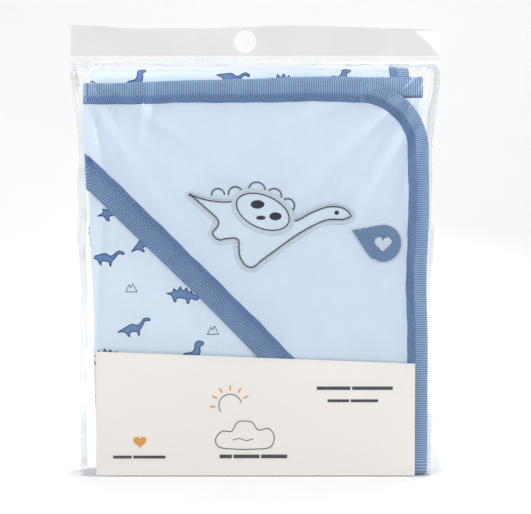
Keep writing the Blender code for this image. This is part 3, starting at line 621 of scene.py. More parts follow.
def film(name, tint, haze, gloss_roughness=0.09, crinkle=0.0001, scale=60.0, corner=None):
    """Clear film: see-through with a slight tint, a clear reflection that grows at grazing angles,
    and a milky share that is stronger where the film is rubbed. Fine crinkles break the highlights.
    A corner (x, z, slope) is where it is crumpled white, to the right of a slanting line."""
    f = Finish(name)
    place = f.place()
    rub = f.noise(place, 22.0, 5.0, 0.6)
    small = f.noise(place, scale, 3.0)
    normal = f.bump(small + rub * 0.5, crinkle)
    clear = f.node("BsdfTransparent", None, {"Color": tint})
    shine = f.node("BsdfGlossy", None, {"Color": (1.0, 1.0, 1.0), "Roughness": gloss_roughness,
                                        "Normal": normal})
    milk = f.node("BsdfDiffuse", None, {"Color": (0.93, 0.95, 0.96), "Normal": normal})
    edge = f.node("Fresnel", None, {"IOR": 1.45, "Normal": normal})
    milky = (rub ** 2.0) * (2.2 * haze) + 0.35 * haze
    if corner:
        across, up = f.parts(f.flat())
        past = (across - corner[0] + (up - corner[1]) * corner[2]) * 400 + small * 1.2 - 0.6
        milky = milky + past.clipped() * (0.30 + rub * 0.35)
    body = f.node("MixShader", None, {0: milky, 1: clear, 2: milk})
    whole = f.node("MixShader", None, {0: edge * 0.6, 1: body, 2: shine})
    f.tree.links.new(whole.socket, f.output.inputs["Surface"])
    f.tree.nodes.remove(f.shader)
    return f.material


PALE_PRINT = knit("printed_jersey", rgb(223, 235, 245), rgb(204, 221, 236))
PLAIN_KNIT = knit("plain_jersey", rgb(216, 229, 242), rgb(200, 216, 232))
# the second colour of each rib knit is the painted shade of its furrows
RIB = ribbed("rib_knit", rgb(154, 184, 216), rgb(66, 98, 142))
HOOD_RIB = ribbed("hood_rib_knit", rgb(134, 166, 202), rgb(50, 82, 128))
SEWING_THREAD = spun("sewing_thread", rgb(82, 134, 200), rgb(40, 84, 148))
LOOP_THREAD = spun("loop_thread", rgb(190, 226, 255), rgb(120, 178, 242), 0.0016)
PATCH_CLOTH = knit("patch_cloth", rgb(222, 232, 244), rgb(203, 217, 232), 0.0009)
SATIN = spun("satin_thread", rgb(226, 233, 241), rgb(172, 187, 205), 0.0009, 0.38)
NAVY = spun("navy_thread", rgb(16, 30, 60), rgb(4, 9, 24), 0.0010, 0.8, 0.3, 0.0)
BUBBLE_CLOTH = spun("bubble_satin", rgb(118, 152, 186), rgb(50, 84, 126), 0.0011, 0.42, 0.75)
INK_FILL = printed("print_blue", rgb(104, 147, 196), rgb(62, 102, 156))
INK_LINE = printed("print_navy", rgb(46, 70, 114), rgb(26, 42, 78))
CARD_BOARD = board("card_board", rgb(241, 237, 233), rgb(231, 227, 222))
CARD_INK = ink("card_ink", rgb(58, 58, 62), rgb(40, 40, 44))
CARD_ORANGE = ink("card_orange", rgb(228, 166, 70), rgb(214, 148, 50))
CLEAR_FILM = film("clear_film", (0.988, 0.990, 0.991), 0.014, 0.07)
SIDE_FILM = film("side_film", (0.965, 0.97, 0.97), 0.28, 0.12)
HEADER_FILM = film("header_film", (0.755, 0.775, 0.755), 0.13, 0.10, corner=(0.118, 0.3375, 0.98))
SEAL_FILM = film("seal_film", (0.82, 0.83, 0.82), 0.34, 0.2, 0.0003, 420.0)
TAPE_FILM = film("tape_film", (0.93, 0.94, 0.93), 0.15, 0.25)

# ---------------------------------------------------------------- camera, floor and light

VIEW_WIDTH = 0.3967
LENS = 110.0
SENSOR = 36.0
distance = VIEW_WIDTH * LENS / SENSOR
tilt = math.radians(2.5)
aim = Vector((0.0075, packed_box[0][1], 0.165))
camera = bpy.data.objects.new("camera", bpy.data.cameras.new("camera"))
camera.data.lens = LENS
camera.data.sensor_width = SENSOR
camera.data.clip_end = 20.0
camera.location = aim + Vector((0.0, -distance * math.cos(tilt), distance * math.sin(tilt)))
camera.rotation_euler = (PI / 2 - tilt, 0.0, 0.0)
bpy.context.scene.collection.objects.link(camera)
bpy.context.scene.camera = camera


def make_floor():
    """A sweep: a flat floor that curves up into a wall behind, as one profile carried sideways."""
    front_edge, bend_start, bend_radius, wall_top = -9.0, 1.2, 0.8, 4.0
    t = np.linspace(0, 1, 25)[:-1]
    bend = PI / 2 * np.linspace(0, 1, 17)
    y = np.concatenate([front_edge + (bend_start - front_edge) * t,
                        bend_start + bend_radius * np.sin(bend), [bend_start + bend_radius]])
    z = np.concatenate([0 * t, bend_radius * (1 - np.cos(bend)), [wall_top]])
    x = np.linspace(-6, 6, 9)
    points = np.stack([*np.broadcast_arrays(x[None, :], y[:, None], z[:, None])], -1).reshape(-1, 3)
    points[:, 2] -= 0.0002
    mesh = bpy.data.meshes.new("floor")
    faces = quads(len(y), len(x))
    mesh.from_pydata(points.tolist(), [], facing(points, faces, (0, 0, 1)).tolist())
    mesh.polygons.foreach_set("use_smooth", np.ones(len(mesh.polygons), bool))
    f = Finish("studio_floor")
    cloud = f.noise(f.place(), 3.0)
    f.set(Base_Color=f.mix(cloud, rgb(226, 226, 227), rgb(231, 231, 231)), Roughness=0.85)
    mesh.materials.append(f.material)
    floor = bpy.data.objects.new("floor", mesh)
    bpy.context.scene.collection.objects.link(floor)


def light(name, place, towards, size, power):
    """A white rectangular lamp at a place, turned towards a point."""
    lamp = bpy.data.lights.new(name, "AREA")
    lamp.shape = "RECTANGLE"
    lamp.size, lamp.size_y = size
    lamp.energy = power
    thing = bpy.data.objects.new(name, lamp)
    thing.location = place
    thing.rotation_euler = (Vector(towards) - Vector(place)).to_track_quat("-Z", "Y").to_euler()
    bpy.context.scene.collection.objects.link(thing)


def make_light():
    """Even white light all round, and six soft lamps."""
    world = bpy.data.worlds.new("studio")
    world.use_nodes = True
    background = world.node_tree.nodes["Background"]
    background.inputs["Color"].default_value = (1.0, 1.0, 1.0, 1.0)
    background.inputs["Strength"].default_value = 0.84
    bpy.context.scene.world = world
    light("key", (-0.9, -1.3, 1.35), (0.0, 0.0, 0.15), (0.7, 0.7), 14.0)
    light("fill", (1.2, -1.1, 0.8), (0.0, 0.0, 0.15), (0.8, 0.8), 8.0)
    light("top", (0.0, 0.1, 1.6), (0.0, 0.0, 0.1), (1.0, 0.6), 1.5)
    light("strip", (0.0, -0.9, 1.5), (0.0, 0.0, 0.30), (1.2, 0.12), 3.0)
    light("wall", (0.0, 0.9, 2.2), (0.0, 2.3, 0.6), (2.4, 0.6), 9.0)
    light("rear", (0.5, 1.1, 0.9), (0.0, 0.0, 0.15), (0.8, 0.8), 8.0)


make_floor()
make_light()

# ---------------------------------------------------------------- towel


def near_folds(low, high, folds, coarse, close, reach):
    """Places from low to high, coarse apart, and close apart within reach of the given folds."""
    x = np.linspace(low, high, 4001)
    density = np.full(len(x), 1 / coarse)
    for start, end in folds:
        density = np.maximum(density, np.where((x > start - reach) & (x < end + reach), 1 / close, 0))
    run = np.concatenate([[0], np.cumsum(0.5 * (density[1:] + density[:-1]) * np.diff(x))])
    return np.interp(np.linspace(0, run[-1], int(run[-1]) + 1), run, x)


U_FOLDS = ((FRONT_COLUMN, LEFT_FOLD_END), (RIGHT_FOLD_START, 0.511765))
V_FOLDS = ((FOOT_START, FOOT_END), (TOP_START, 0.6357))


def make_cloth():
    """The whole square on one grid, rounded at its corners and folded."""
    u = near_folds(0, SIDE, U_FOLDS, 0.0062, 0.0008, 0.002)
    v = near_folds(0, SIDE, V_FOLDS, 0.0062, 0.0015, 0.004)
    gu, gv = rounded(*np.broadcast_arrays(u[:, None], v[None, :]))
    points = fold(gu, gv, np.zeros(gu.shape)).reshape(-1, 3)
    faces = quads(len(u), len(v))
    uv = np.stack([gu, gv], -1).reshape(-1, 2)
    front = fold(gu, gv, np.full(gu.shape, 0.0001)).reshape(-1, 3) - points
    faces = facing_along(points, faces, front)
    cloth = piece("towel_cloth", points, faces, uv, PALE_PRINT, "towel", "printed_knit", ["body_panel"])
    return thicken(cloth, 2 * HALF)


def make_hood():
    """The hood on a grid of u and of the share of the way down to its long edge: v = (leg - u) q."""
    u = near_folds(0, HOOD_LEG - 0.0005, U_FOLDS[:1], 0.0030, 0.0007, 0.003)
    q = np.linspace(0, 1, 96)
    gu, gv = np.broadcast_arrays(u[:, None], q[None, :])
    gu, gv = rounded(gu, (HOOD_LEG - gu) * gv)
    lump = 0.00012 * np.sin(gu * 210 + gv * 90) + 0.00010 * np.sin(gv * 240 - gu * 130)
    pull = 0.00022 * np.sin(gu * 900) * bump_line(gv, BINDING_WIDTH + 0.002, 0.006)
    pull += 0.00022 * np.sin(gv * 900) * bump_line(gu, BINDING_WIDTH + 0.002, 0.006)
    height = HOOD_LEVEL + (lump + pull) * outward(gu, gv)
    points = fold(gu, gv, height).reshape(-1, 3)
    faces = facing(points, quads(len(u), len(q)), FRONT)
    uv = np.stack([gu, gv], -1).reshape(-1, 2)
    hood = piece("hood", points, faces, uv, PLAIN_KNIT, "towel", "plain_knit", ["hood_panel"])
    return thicken(hood, 0.0007)


def binding_profile(rows, rise, bulge, rib, wall=0.0011, inner=0.0007, width=BINDING_WIDTH):
    """Cross-section of a strip folded over an edge, (inset, height) round both walls and the turn.

    Outer side: front lip, front wall, half circle round the edge, back wall, back lip. Then back
    along the inner side. The front wall crowns by bulge and each rib stands proud by rib."""
    lip = width * np.array([1.0, 0.973, 0.79, 0.61, 0.53, 0.40, 0.27, 0.13, 0.04])
    crown = np.array([-0.35, 0.0, 0.02, 0.12, 0.45, 1.0, 1.0, 0.7, 0.2])
    turn = PI * np.linspace(0.12, 0.88, 4)
    far_side = width * np.array([1.0, 0.4, 0.02, 0.02, 0.4, 1.0])
    inset = np.concatenate([lip, 0.0002 - 0.0009 * np.sin(turn), lip[::-3], far_side])
    front = wall + bulge[:, None] * crown
    round_turn = wall * np.cos(turn)
    base = np.concatenate([round_turn, np.full(3, -wall), np.full(3, -inner), np.full(3, inner)])
    height = np.concatenate([front, np.broadcast_to(base, (rows, len(base)))], 1)
    outer = np.concatenate([np.array([0, 0.2, 0.2, 0.5, 1, 1, 1, 1, 1]), np.full(4, 1.0), [0.7, 0.7, 0.0],
                            np.zeros(6)])
    side = np.concatenate([np.ones(9), np.cos(turn), -np.ones(3), np.zeros(6)])
    height = height + rib[:, None] * outer * side
    front_side = np.concatenate([np.ones(9), 0.5 + 0.5 * np.cos(turn), np.zeros(6), np.ones(3)])
    height = height + rise[:, None] * front_side
    return np.stack([np.broadcast_to(inset, height.shape), height], -1)


RIB_PITCH = 0.0017


def make_edge_binding():
    """Rib strip round the whole edge. Rows are close where it shows and wider inside the pack."""
    shown = ((0.0, 0.66), (EDGE_LENGTH - 0.079 - 0.555, EDGE_LENGTH))
    s = near_folds(0.0, EDGE_LENGTH, shown, 0.0026, RIB_PITCH / 4, 0.0)[:-1]
    u, v = edge_point(s, 0.0)
    rise = HOOD_RISE * edge_rise(u, v)
    face = np.maximum(outward(u, v), np.where(v < 0.002, before_fold(u), 0.0))
    bulge = 0.0006 * face * (1 + 0.35 * np.sin(s * 160) * np.sin(s * 47))
    rib = 0.00020 * np.sin(2 * PI * s / RIB_PITCH) * np.maximum(face, 0.35)
    made = strip(edge_point, s, binding_profile(len(s), rise, bulge, rib))
    return piece("edge_binding_knit", *made, RIB, "towel", "rib_binding", ["edge_binding"])


def make_hood_binding():
    """Rib strip over the hood's long edge. Its profile has more points than the plain one, because
    the strip bends at the left fold, and its back wall lies above the cloth."""
    t = np.arange(-DIAGONAL_HALF, DIAGONAL_HALF, RIB_PITCH / 4)
    t = t - (t[0] + t[-1]) / 2
    u, v = diagonal_point(t, 0.0)
    face = before_fold(u) * (1 - ease(v, 0.262, 0.28))
    bulge = 0.0006 * face * (1 + 0.35 * np.sin(t * 150) * np.sin(t * 41))
    rib = 0.00020 * np.sin(2 * PI * t / RIB_PITCH) * np.maximum(face, 0.25)
    wall, inner = 0.00095, 0.00055
    rise = np.full(len(t), HOOD_LEVEL)
    profile = binding_profile(len(t), rise, bulge, rib, wall, inner, HOOD_BINDING_WIDTH)
    place = np.concatenate([np.linspace(0, 8, 33), np.arange(9, profile.shape[1], 0.5)])
    before = place.astype(int)
    share = (place - before)[None, :, None]
    profile = profile[:, before] * (1 - share) + profile[:, (before + 1) % profile.shape[1]] * share
    lower = profile[..., 1]
    under = lower < -0.0002
    profile[..., 1] = np.where(under, np.maximum(lower, -wall) + 0.00185, lower)
    profile[..., 1] = np.maximum(profile[..., 1], 0.00068)
    made = strip(diagonal_point, t, profile, wrap=False)
    return piece("hood_binding_knit", *made, HOOD_RIB, "towel", "rib_binding", ["hood_binding"])


def seam(place, length, wrap, heights, names, stands_for, width, start=0.0):
    """Cover stitch: three straight lines of thread, and two looser threads that cross between
    them. Each swings from side to side once in every stitch."""
    inner, outer = width - 0.0006, width - 0.0060
    middle = (inner + outer) / 2
    lines, loops = [], []
    steps = int(length / 0.0022)
    s = start + length * np.arange(steps) / (steps if wrap else steps - 1)
    for inset in (inner - 0.0003, middle, outer + 0.0003):
        u, v = place(s, inset * (1 + wander(s)))
        w = heights(u, v) + 0.00024 - 0.00010 * np.cos(PI * np.arange(steps))
        lines.append(thread(u, v, w, 0.00022, 4, wrap))
    count = 2 * int(length / 0.0032)
    s = start + length * np.arange(count) / (count if wrap else count - 1)
    for way in (1, -1):
        swing = way * np.where(np.arange(count) % 2 == 0, 1.0, -1.0)
        u, v = place(s, (middle + swing * 0.5 * (inner - outer)) * (1 + wander(s)))
        loops.append(thread(u, v, heights(u, v) + 0.00028 + 0.00006 * way * swing, 0.00038, 4, wrap))
    dark = piece(names[0], *joined(lines), SEWING_THREAD, "towel", "blue_thread", stands_for)
    return [dark, piece(names[1], *joined(loops), LOOP_THREAD, "towel", "blue_thread")]


def edge_seam_height(u, v):
    """Height of the edge binding's front, which rises where the hood lies under it."""
    return STITCH_BASE + HOOD_RISE * edge_rise(u, v) - 0.0001


def hood_seam_height(u, _):
    """Height of the hood binding's front, the same all along."""
    return np.full(np.shape(u), HOOD_STITCH_BASE)


# ---------------------------------------------------------------- applique


def smooth_outline(points, steps):
    """A closed Catmull-Rom curve through the points, with steps points to each span."""
    p = np.asarray(points, float)[:, None]
    before, after, beyond = np.roll(p, 1, 0), np.roll(p, -1, 0), np.roll(p, -2, 0)
    t = (np.arange(steps) / steps)[None, :, None]
    curve = 0.5 * (2 * p + (after - before) * t + (2 * before - 5 * p + 4 * after - beyond) * t * t
                   + (3 * p - before - 3 * after + beyond) * t ** 3)
    return curve.reshape(-1, 2)


def ellipse(a, b, tilt, steps, centre=(0.0, 0.0), start=0.0, sweep=2 * PI):
    """Points round an ellipse turned by tilt, or along an arc of it."""
    closed = sweep > 2 * PI - 1e-6
    angle = start + sweep * np.arange(steps) / (steps if closed else steps - 1)
    x, y = a * np.cos(angle), b * np.sin(angle)
    c, s = math.cos(tilt), math.sin(tilt)
    return np.stack([centre[0] + c * x - s * y, centre[1] + s * x + c * y], 1)


def moved_out(outline, distance):
    """A closed counterclockwise outline, each point moved out along the bisector of its sides."""
    before = outline - np.roll(outline, 1, 0)
    after = np.roll(outline, -1, 0) - outline
    before = before / np.linalg.norm(before, axis=1)[:, None]
    after = after / np.linalg.norm(after, axis=1)[:, None]
    out = np.stack([before[:, 1] + after[:, 1], -before[:, 0] - after[:, 0]], 1)
    length = np.linalg.norm(out, axis=1)[:, None]
    return outline + distance * (out / length) / np.maximum(length / 2, 0.7)


def even(line, spacing, closed=True):
    """The same line with points at equal distances along it."""
    line = np.concatenate([line, line[:1]]) if closed else line
    run = np.concatenate([[0], np.cumsum(np.linalg.norm(np.diff(line, axis=0), axis=1))])
    count = max(4, int(round(run[-1] / spacing)))
    at = np.linspace(0, run[-1], count, endpoint=not closed)
    return np.stack([np.interp(at, run, line[:, k]) for k in (0, 1)], 1)


def ahead_of(line, closed):
    """The unit vector along a line at each of its points."""
    ahead = np.roll(line, -1, 0) - np.roll(line, 1, 0) if closed else np.gradient(line, axis=0)
    return ahead / np.maximum(np.linalg.norm(ahead, axis=1), 1e-9)[:, None]


def on_cloth(line, centre):
    """Flat u and v of points drawn right and up from a centre on the front page."""
    return centre[0] - line[:, 0], centre[1] - line[:, 1]


def patch(outline, centre, base, crown, spacing, soft=0.0025, rows=0.0):
    """A filled outline that stands up from its edge: height = crown (1 - exp(-depth / soft)), and
    a sine of rows in height where it is filled with slanting rows of thread."""
    points, faces = filled(outline, spacing)
    depth = depth_in(points, outline)
    u, v = on_cloth(points, centre)
    row = np.sin(2 * PI * (points[:, 1] + 0.25 * points[:, 0]) / THREAD_ROW)
    placed = fold(u, v, base + crown * (1 - np.exp(-depth / soft)) + rows * row)
    return placed, facing(placed, faces, FRONT), np.stack([u, v], 1)


def satin(outline, centre, base, width, height, pitch=0.0006):
    """Satin stitch: a low half-round ridge round an outline, its threads lying across it."""
    line = even(outline, pitch / 2.5)
    rows = len(line)
    ahead = ahead_of(line, True)
    side = np.stack([ahead[:, 1], -ahead[:, 0]], 1)
    a = PI * np.linspace(0, 1, 7)
    across = np.concatenate([np.cos(a), [0.0]])
    up = np.concatenate([np.sin(a), [-0.2]])
    run = np.arange(rows) * pitch / 2.5
    thread_rib = (0.82 + 0.18 * np.cos(2 * PI * run / pitch))[:, None]
    ragged = (1 + 0.05 * np.sin(run * 5200) + 0.04 * np.sin(run * 2700))[:, None]
    spread = across[None, :] * ragged * width / 2
    flat = line[:, None, :] + spread[..., None] * side[:, None, :]
    u, v = centre[0] - flat[..., 0], centre[1] - flat[..., 1]
    points = fold(u, v, base + up[None, :] * height * thread_rib).reshape(-1, 3)
    faces = quads(rows, len(across), True, True)
    uv = np.stack(np.broadcast_arrays(run[:, None], (across * width / 2)[None, :]), -1).reshape(-1, 2)
    return points, facing_out(points, faces), uv


def line_stitch(line, centre, base, radius=0.00056, stitch=0.0024, closed=True):
    """A line of stitches: a thread that thins and dips where each stitch enters the cloth, and
    lies pressed flat where the saddle covers it."""
    line = even(line, stitch / 5, closed)
    u, v = on_cloth(line, centre)
    along = np.arange(len(line)) / 5
    lift = np.abs(np.sin(PI * along)) ** 0.5
    if centre == DINO_CENTRE:
        c, s = math.cos(SADDLE_TILT), math.sin(SADDLE_TILT)
        x, y = line[:, 0] - SADDLE_PLACE[0], line[:, 1] - SADDLE_PLACE[1]
        half_x, half_y = (half + SADDLE_BORDER for half in SADDLE_HALVES)
        reach = np.hypot((c * x + s * y) / half_x, (c * y - s * x) / half_y)
        radius = radius * (0.30 + 0.70 * ease(reach, 0.97, 1.04))
    return thread(u, v, base + radius * (0.15 + 0.35 * lift), radius * (0.62 + 0.38 * lift), 6, closed)


DINO_CENTRE = (0.376 * HOOD_LEG, 0.335 * HOOD_LEG)
BUBBLE_CENTRE = (BINDING_WIDTH + 0.0185, 0.359 * HOOD_LEG)
DINO_LINE = smooth_outline(np.array([
    (-55.0, 29.0), (-44.0, 18.5), (-33.5, 8.0), (-38.0, -0.5), (-32.5, -6.5), (-25.0, -5.5),
    (-18.5, -6.0), (-18.0, -12.5), (-17.0, -19.0), (-12.5, -25.5), (-6.0, -27.0), (1.5, -21.5),
    (14.0, -12.5), (26.0, -4.0), (38.0, 3.0), (50.0, 8.0), (62.0, 8.5), (68.5, 12.5), (62.0, 19.0),
    (50.0, 20.0), (37.0, 15.5), (24.0, 9.5), (14.0, 17.0), (0.0, 24.0), (-14.0, 26.0),
    (-27.0, 24.0), (-41.0, 25.5),
]) * 0.001, 10)
PLATES = (
    (-0.0326, 0.0280, 0.0050, 93), (-0.0195, 0.0288, 0.0056, 98), (-0.0035, 0.0312, 0.0066, 90),
    (0.0095, 0.0272, 0.0056, 66), (0.0195, 0.0198, 0.0054, 48),
)
SADDLE_PLACE = (0.0010, 0.0155)
SADDLE_CENTRE = (DINO_CENTRE[0] - SADDLE_PLACE[0], DINO_CENTRE[1] - SADDLE_PLACE[1])
SADDLE_TILT = math.radians(-24)
SADDLE_HALVES = (0.0225, 0.0135)
SADDLE_BORDER = 0.0025
SPOTS = (
    (-0.0040, 0.0055, 0.0052, 0.0032), (-0.0015, -0.0045, 0.0036, 0.0016),
    (0.0095, -0.0035, 0.0046, 0.0030),
)
SATIN_HALF = 0.0011
BORDER = (0.0025, 0.00075)
THREAD_ROW = 0.0022


def sewn_on(name, made, finish, slot, *stands_for):
    """A piece sewn on the towel, from its (points, faces, uv)."""
    return piece(name, *made, finish, "towel", slot, stands_for)


def make_dino():
    """Body patch, its satin border, its dark line and eye."""
    base = APPLIQUE_BASE
    body = patch(DINO_LINE[::2], DINO_CENTRE, base, 0.00045, 0.0030)
    sewn_on("dino_body", body, PATCH_CLOTH, "pale_patch", "dino_patch")
    border = satin(moved_out(DINO_LINE, SATIN_HALF + 0.0002), DINO_CENTRE, base - 0.0001, *BORDER)
    sewn_on("dino_satin", border, SATIN, "satin_thread", "dino_border")
    line = line_stitch(moved_out(DINO_LINE, -0.0012), DINO_CENTRE, base + 0.00028)
    sewn_on("dino_line", line, NAVY, "navy_thread", "dino_outline")
    round_eye = ellipse(0.0017, 0.0017, 0.0, 20, (0.0565, 0.0145))
    eye = patch(round_eye, DINO_CENTRE, base + 0.0004, 0.0005, 0.0007, 0.0008)
    sewn_on("dino_eye", eye, NAVY, "navy_thread", "eye")


def make_saddle():
    """Oval patch over the back with spots."""
    base = SADDLE_BASE
    oval = ellipse(*SADDLE_HALVES, SADDLE_TILT, 96)
    cloth = patch(oval, SADDLE_CENTRE, base - 0.0001, 0.0004, 0.0025)
    sewn_on("saddle_cloth", cloth, PATCH_CLOTH, "pale_patch", "saddle_patch")
    border = satin(moved_out(oval, SATIN_HALF), SADDLE_CENTRE, base - 0.0002, *BORDER)
    sewn_on("saddle_satin", border, SATIN, "satin_thread", "saddle_border")
    line = line_stitch(moved_out(oval, -0.0014), SADDLE_CENTRE, base - 0.00005)
    sewn_on("saddle_line", line, NAVY, "navy_thread", "saddle_outline")
    for number, (right, up, a, b) in enumerate(SPOTS, 1):
        outline = ellipse(a, b, 0.0, 36, (right, up))
        spot = patch(outline, SADDLE_CENTRE, base + 0.0003, 0.0004, 0.0010, 0.0007)
        sewn_on(f"saddle_dot_{number}", spot, NAVY, "navy_thread", f"saddle_spot_{number}")


def make_plates():
    """Half-round plates along the back, each with a dark line round its rim."""
    for number, (right, up, radius, points_to) in enumerate(PLATES, 1):
        start = math.radians(points_to - 90)
        half = ellipse(radius, radius, 0.0, 26, (right, up), start, PI)
        cloth = patch(half, DINO_CENTRE, PLATE_BASE, 0.0004, 0.0018)
        sewn_on(f"plate_{number}", cloth, PATCH_CLOTH, "pale_patch", f"back_plate_{number}")
        arc = ellipse(radius - 0.0002, radius - 0.0002, 0.0, 40, (right, up), start, PI)
        line = line_stitch(arc, DINO_CENTRE, PLATE_BASE + 0.0001, closed=False)
        sewn_on(f"plate_line_{number}", line, NAVY, "navy_thread")


def heart(size, steps, centre=(0.0, 0.0)):
    """A heart as wide as size, from its usual curve in one angle."""
    t = 2 * PI * np.arange(steps) / steps + 0.5 * PI
    x = 16 * np.sin(t) ** 3
    y = 13 * np.cos(t) - 5 * np.cos(2 * t) - 2 * np.cos(3 * t) - np.cos(4 * t)
    return np.stack([-x, y], 1) * size / 32 + np.array(centre)


def make_bubble():
    """Leaf-shaped patch filled with rows of thread, its thin pale rim and a small heart."""
    radius, tip, points_to = 0.0140, 0.0260, math.radians(158)
    half = math.acos(radius / tip)
    arc = ellipse(radius, radius, 0.0, 60, (0.0, 0.0), points_to + half, 2 * PI - 2 * half)
    outline = np.concatenate([arc, tip * np.array([[math.cos(points_to), math.sin(points_to)]])])
    outline = even(outline, 0.0012)
    cloth = patch(outline, BUBBLE_CENTRE, APPLIQUE_BASE, 0.0005, 0.00055, 0.0018, 0.00022)
    sewn_on("bubble_fill", cloth, BUBBLE_CLOTH, "bubble_cloth", "bubble_patch")
    rim = satin(moved_out(outline, 0.0006), BUBBLE_CENTRE, APPLIQUE_BASE - 0.0001, 0.0015, 0.0007)
    sewn_on("bubble_rim", rim, SATIN, "satin_thread", "bubble_border")
    motif = patch(heart(0.0130, 60), BUBBLE_CENTRE, APPLIQUE_BASE + 0.0005, 0.0006, 0.0009, 0.0009)
    sewn_on("bubble_heart", motif, SATIN, "pale_patch", "bubble_motif")


# ---------------------------------------------------------------- print on the cloth

WALKER = smooth_outline(np.array([
    (-15, -1), (-9, -2), (-6, -6), (-4.6, -6), (-4.2, -3), (1, -3), (2, -6), (3.6, -6), (4, -2.5),
    (7, 1), (9.5, 4.5), (13.5, 4.2), (13.8, 6.4), (9.5, 7.6), (6.4, 5.4), (3, 2.6), (-2, 4.2), (-8, 2.2),
]) * 0.001, 3)
SPIKY = smooth_outline(np.array([
    (-14, 0), (-9, -1.5), (-7, -6), (-4.6, -6), (-4, -3), (3, -3), (3.8, -6), (6.2, -6), (7, -2), (11, -3),
    (14, -1.2), (12.5, 1.6), (9, 2), (7.4, 5), (5, 3.4), (3, 7), (0.4, 4.2), (-2.4, 7.2), (-4.4, 3.6),
    (-8, 5), (-8.6, 1.8),
]) * 0.001, 3)
SWIMMER = smooth_outline(np.array([
    (-7.0, -2.6), (-3.6, -0.4), (-1.0, 1.3), (2.0, 1.4), (3.6, 3.0), (4.0, 5.2), (5.4, 6.3), (7.4, 5.6),
    (6.8, 4.5), (5.7, 4.1), (5.5, 1.4), (4.2, -1.2), (4.8, -3.6), (3.0, -3.6), (1.6, -2.3),
    (-1.0, -2.3), (-2.2, -4.4), (-3.6, -4.0), (-2.9, -1.9),
]) * 0.0018, 3)
PEAK = np.array([(-5, -2.6), (-2.2, 3.2), (-0.6, 0.6), (1.6, 4.4), (5, -2.6)]) * 0.001
DRAWINGS = (WALKER, SPIKY, SWIMMER, PEAK)


def motif(kind, u, v, turn, size, front):
    """Flat (points, faces) of one drawing: its fill, and strips along its outline for its line."""
    c, s = math.cos(turn), math.sin(turn)
    side = 1 if front else -1
    w = side * (HALF + 0.00012)

    def laid(xy, lift):
        x, y = c * xy[:, 0] - s * xy[:, 1], s * xy[:, 0] + c * xy[:, 1]
        return np.stack([u - size * x, v - size * y, np.full(len(x), w + side * lift)], 1)

    outline, fill = DRAWINGS[kind], FILLS[kind]
    inner = moved_out(outline, -0.0009)
    edge = laid(np.concatenate([outline, inner]), 0.00006)
    strip_faces = quads(2, len(outline), False, True)
    return (fill and (laid(fill[0], 0.0), fill[1])), (edge, strip_faces)


FILLS = (*(filled(outline, 0.0018) for outline in DRAWINGS[:3]), None)


def cloth_inside(u, v, margin):
    """Whether a place on the flat cloth is inside the binding by margin."""
    a = np.maximum(np.abs(u - SIDE / 2) - (SIDE / 2 - CORNER), 0)
    b = np.maximum(np.abs(v - SIDE / 2) - (SIDE / 2 - CORNER), 0)
    far = max(abs(u - SIDE / 2), abs(v - SIDE / 2))
    return far < SIDE / 2 - margin and math.hypot(a, b) < CORNER - margin + 0.02


def placements():
    """Where the drawings lie: a staggered lattice over the cloth, loosened at random, with the part that
    shows beside the hood listed one by one."""
    shown = [
        (0.2370, 0.0960, 1, 0.25), (0.2430, 0.1310, 0, -0.1), (0.2130, 0.1190, 0, 0.5),
        (0.1870, 0.1590, 1, -0.12), (0.2240, 0.1840, 0, 0.15), (0.1830, 0.2050, 2, 0.1),
        (0.2260, 0.1540, 3, 0.0), (0.1640, 0.1860, 3, 0.0), (0.2480, 0.2060, 1, 0.3),
        (0.2330, 0.0560, 1, 0.1),
    ]
    rows = []
    step_u, step_v = 0.0400, 0.0330
    number = 0
    for j in range(24):
        for i in range(20):
            u = (i + 0.5 * (j % 2)) * step_u + fine.uniform(-0.004, 0.004)
            v = (j + 0.3) * step_v + fine.uniform(-0.004, 0.004)
            kind = (number * 7 + j) % 4
            number += 1
            turn = fine.uniform(-0.3, 0.3)
            laid_by_hand = 0.145 < u < 0.262 and 0.055 < v < 0.225
            if laid_by_hand or not cloth_inside(u, v, 0.020):
                continue
            rows.append((u, v, kind, turn))
    return shown + rows


def make_print(places):
    """All the drawings, front and back of the cloth, as one piece of fills and one of lines.
    The front's drawings are left out where the hood covers them."""
    fills, lines = [], []
    for front in (True, False):
        for u, v, kind, turn in places:
            if front and u + v < HOOD_LEG - 0.025:
                continue
            size = 0.92 if kind < 3 else 0.78
            fill, line = motif(kind, u, v, turn, size, front)
            for part, target in ((fill, fills), (line, lines)):
                if part is None:
                    continue
                flat, faces = part
                placed = fold(flat[:, 0], flat[:, 1], flat[:, 2])
                lifted = fold(flat[:, 0], flat[:, 1], flat[:, 2] + (0.0001 if front else -0.0001))
                target.append((placed, facing_along(placed, faces, lifted - placed), flat[:, :2]))
    piece("print_fills", *joined(fills), INK_FILL, "towel", "printed_knit", smooth=False)
    piece("print_lines", *joined(lines), INK_LINE, "towel", "printed_knit", smooth=False)


# ---------------------------------------------------------------- card

card_low, card_high = (np.array(c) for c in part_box("card_insert"))
CARD_RIGHT_TOP = 0.085


def card_y(x, z):
    """The card's front face: it bows forwards by a third of a millimetre between its ends."""
    t = (x - card_low[0]) / (card_high[0] - card_low[0])
    return card_low[1] - 0.0003 * np.sin(PI * t) * ease(z, 0.0, 0.06) - 0.0001 * np.sin(2 * PI * t + z * 20)


def make_card():
    """A sheet with a slanting top edge: x by height, bowed."""
    x = np.linspace(card_low[0], card_high[0], 60)[:, None]
    q = np.linspace(0, 1, 24)[None, :]
    t = (x - card_low[0]) / (card_high[0] - card_low[0])
    top = card_high[2] + (CARD_RIGHT_TOP - card_high[2]) * t
    z = card_low[2] + (top - card_low[2]) * q
    card = sheet_piece("printed_card", x, card_y(x, z), z, FRONT, CARD_BOARD, "card", "card",
                       ["card_insert"], smooth=False)
    return thicken(card, 0.0004, -1.0)


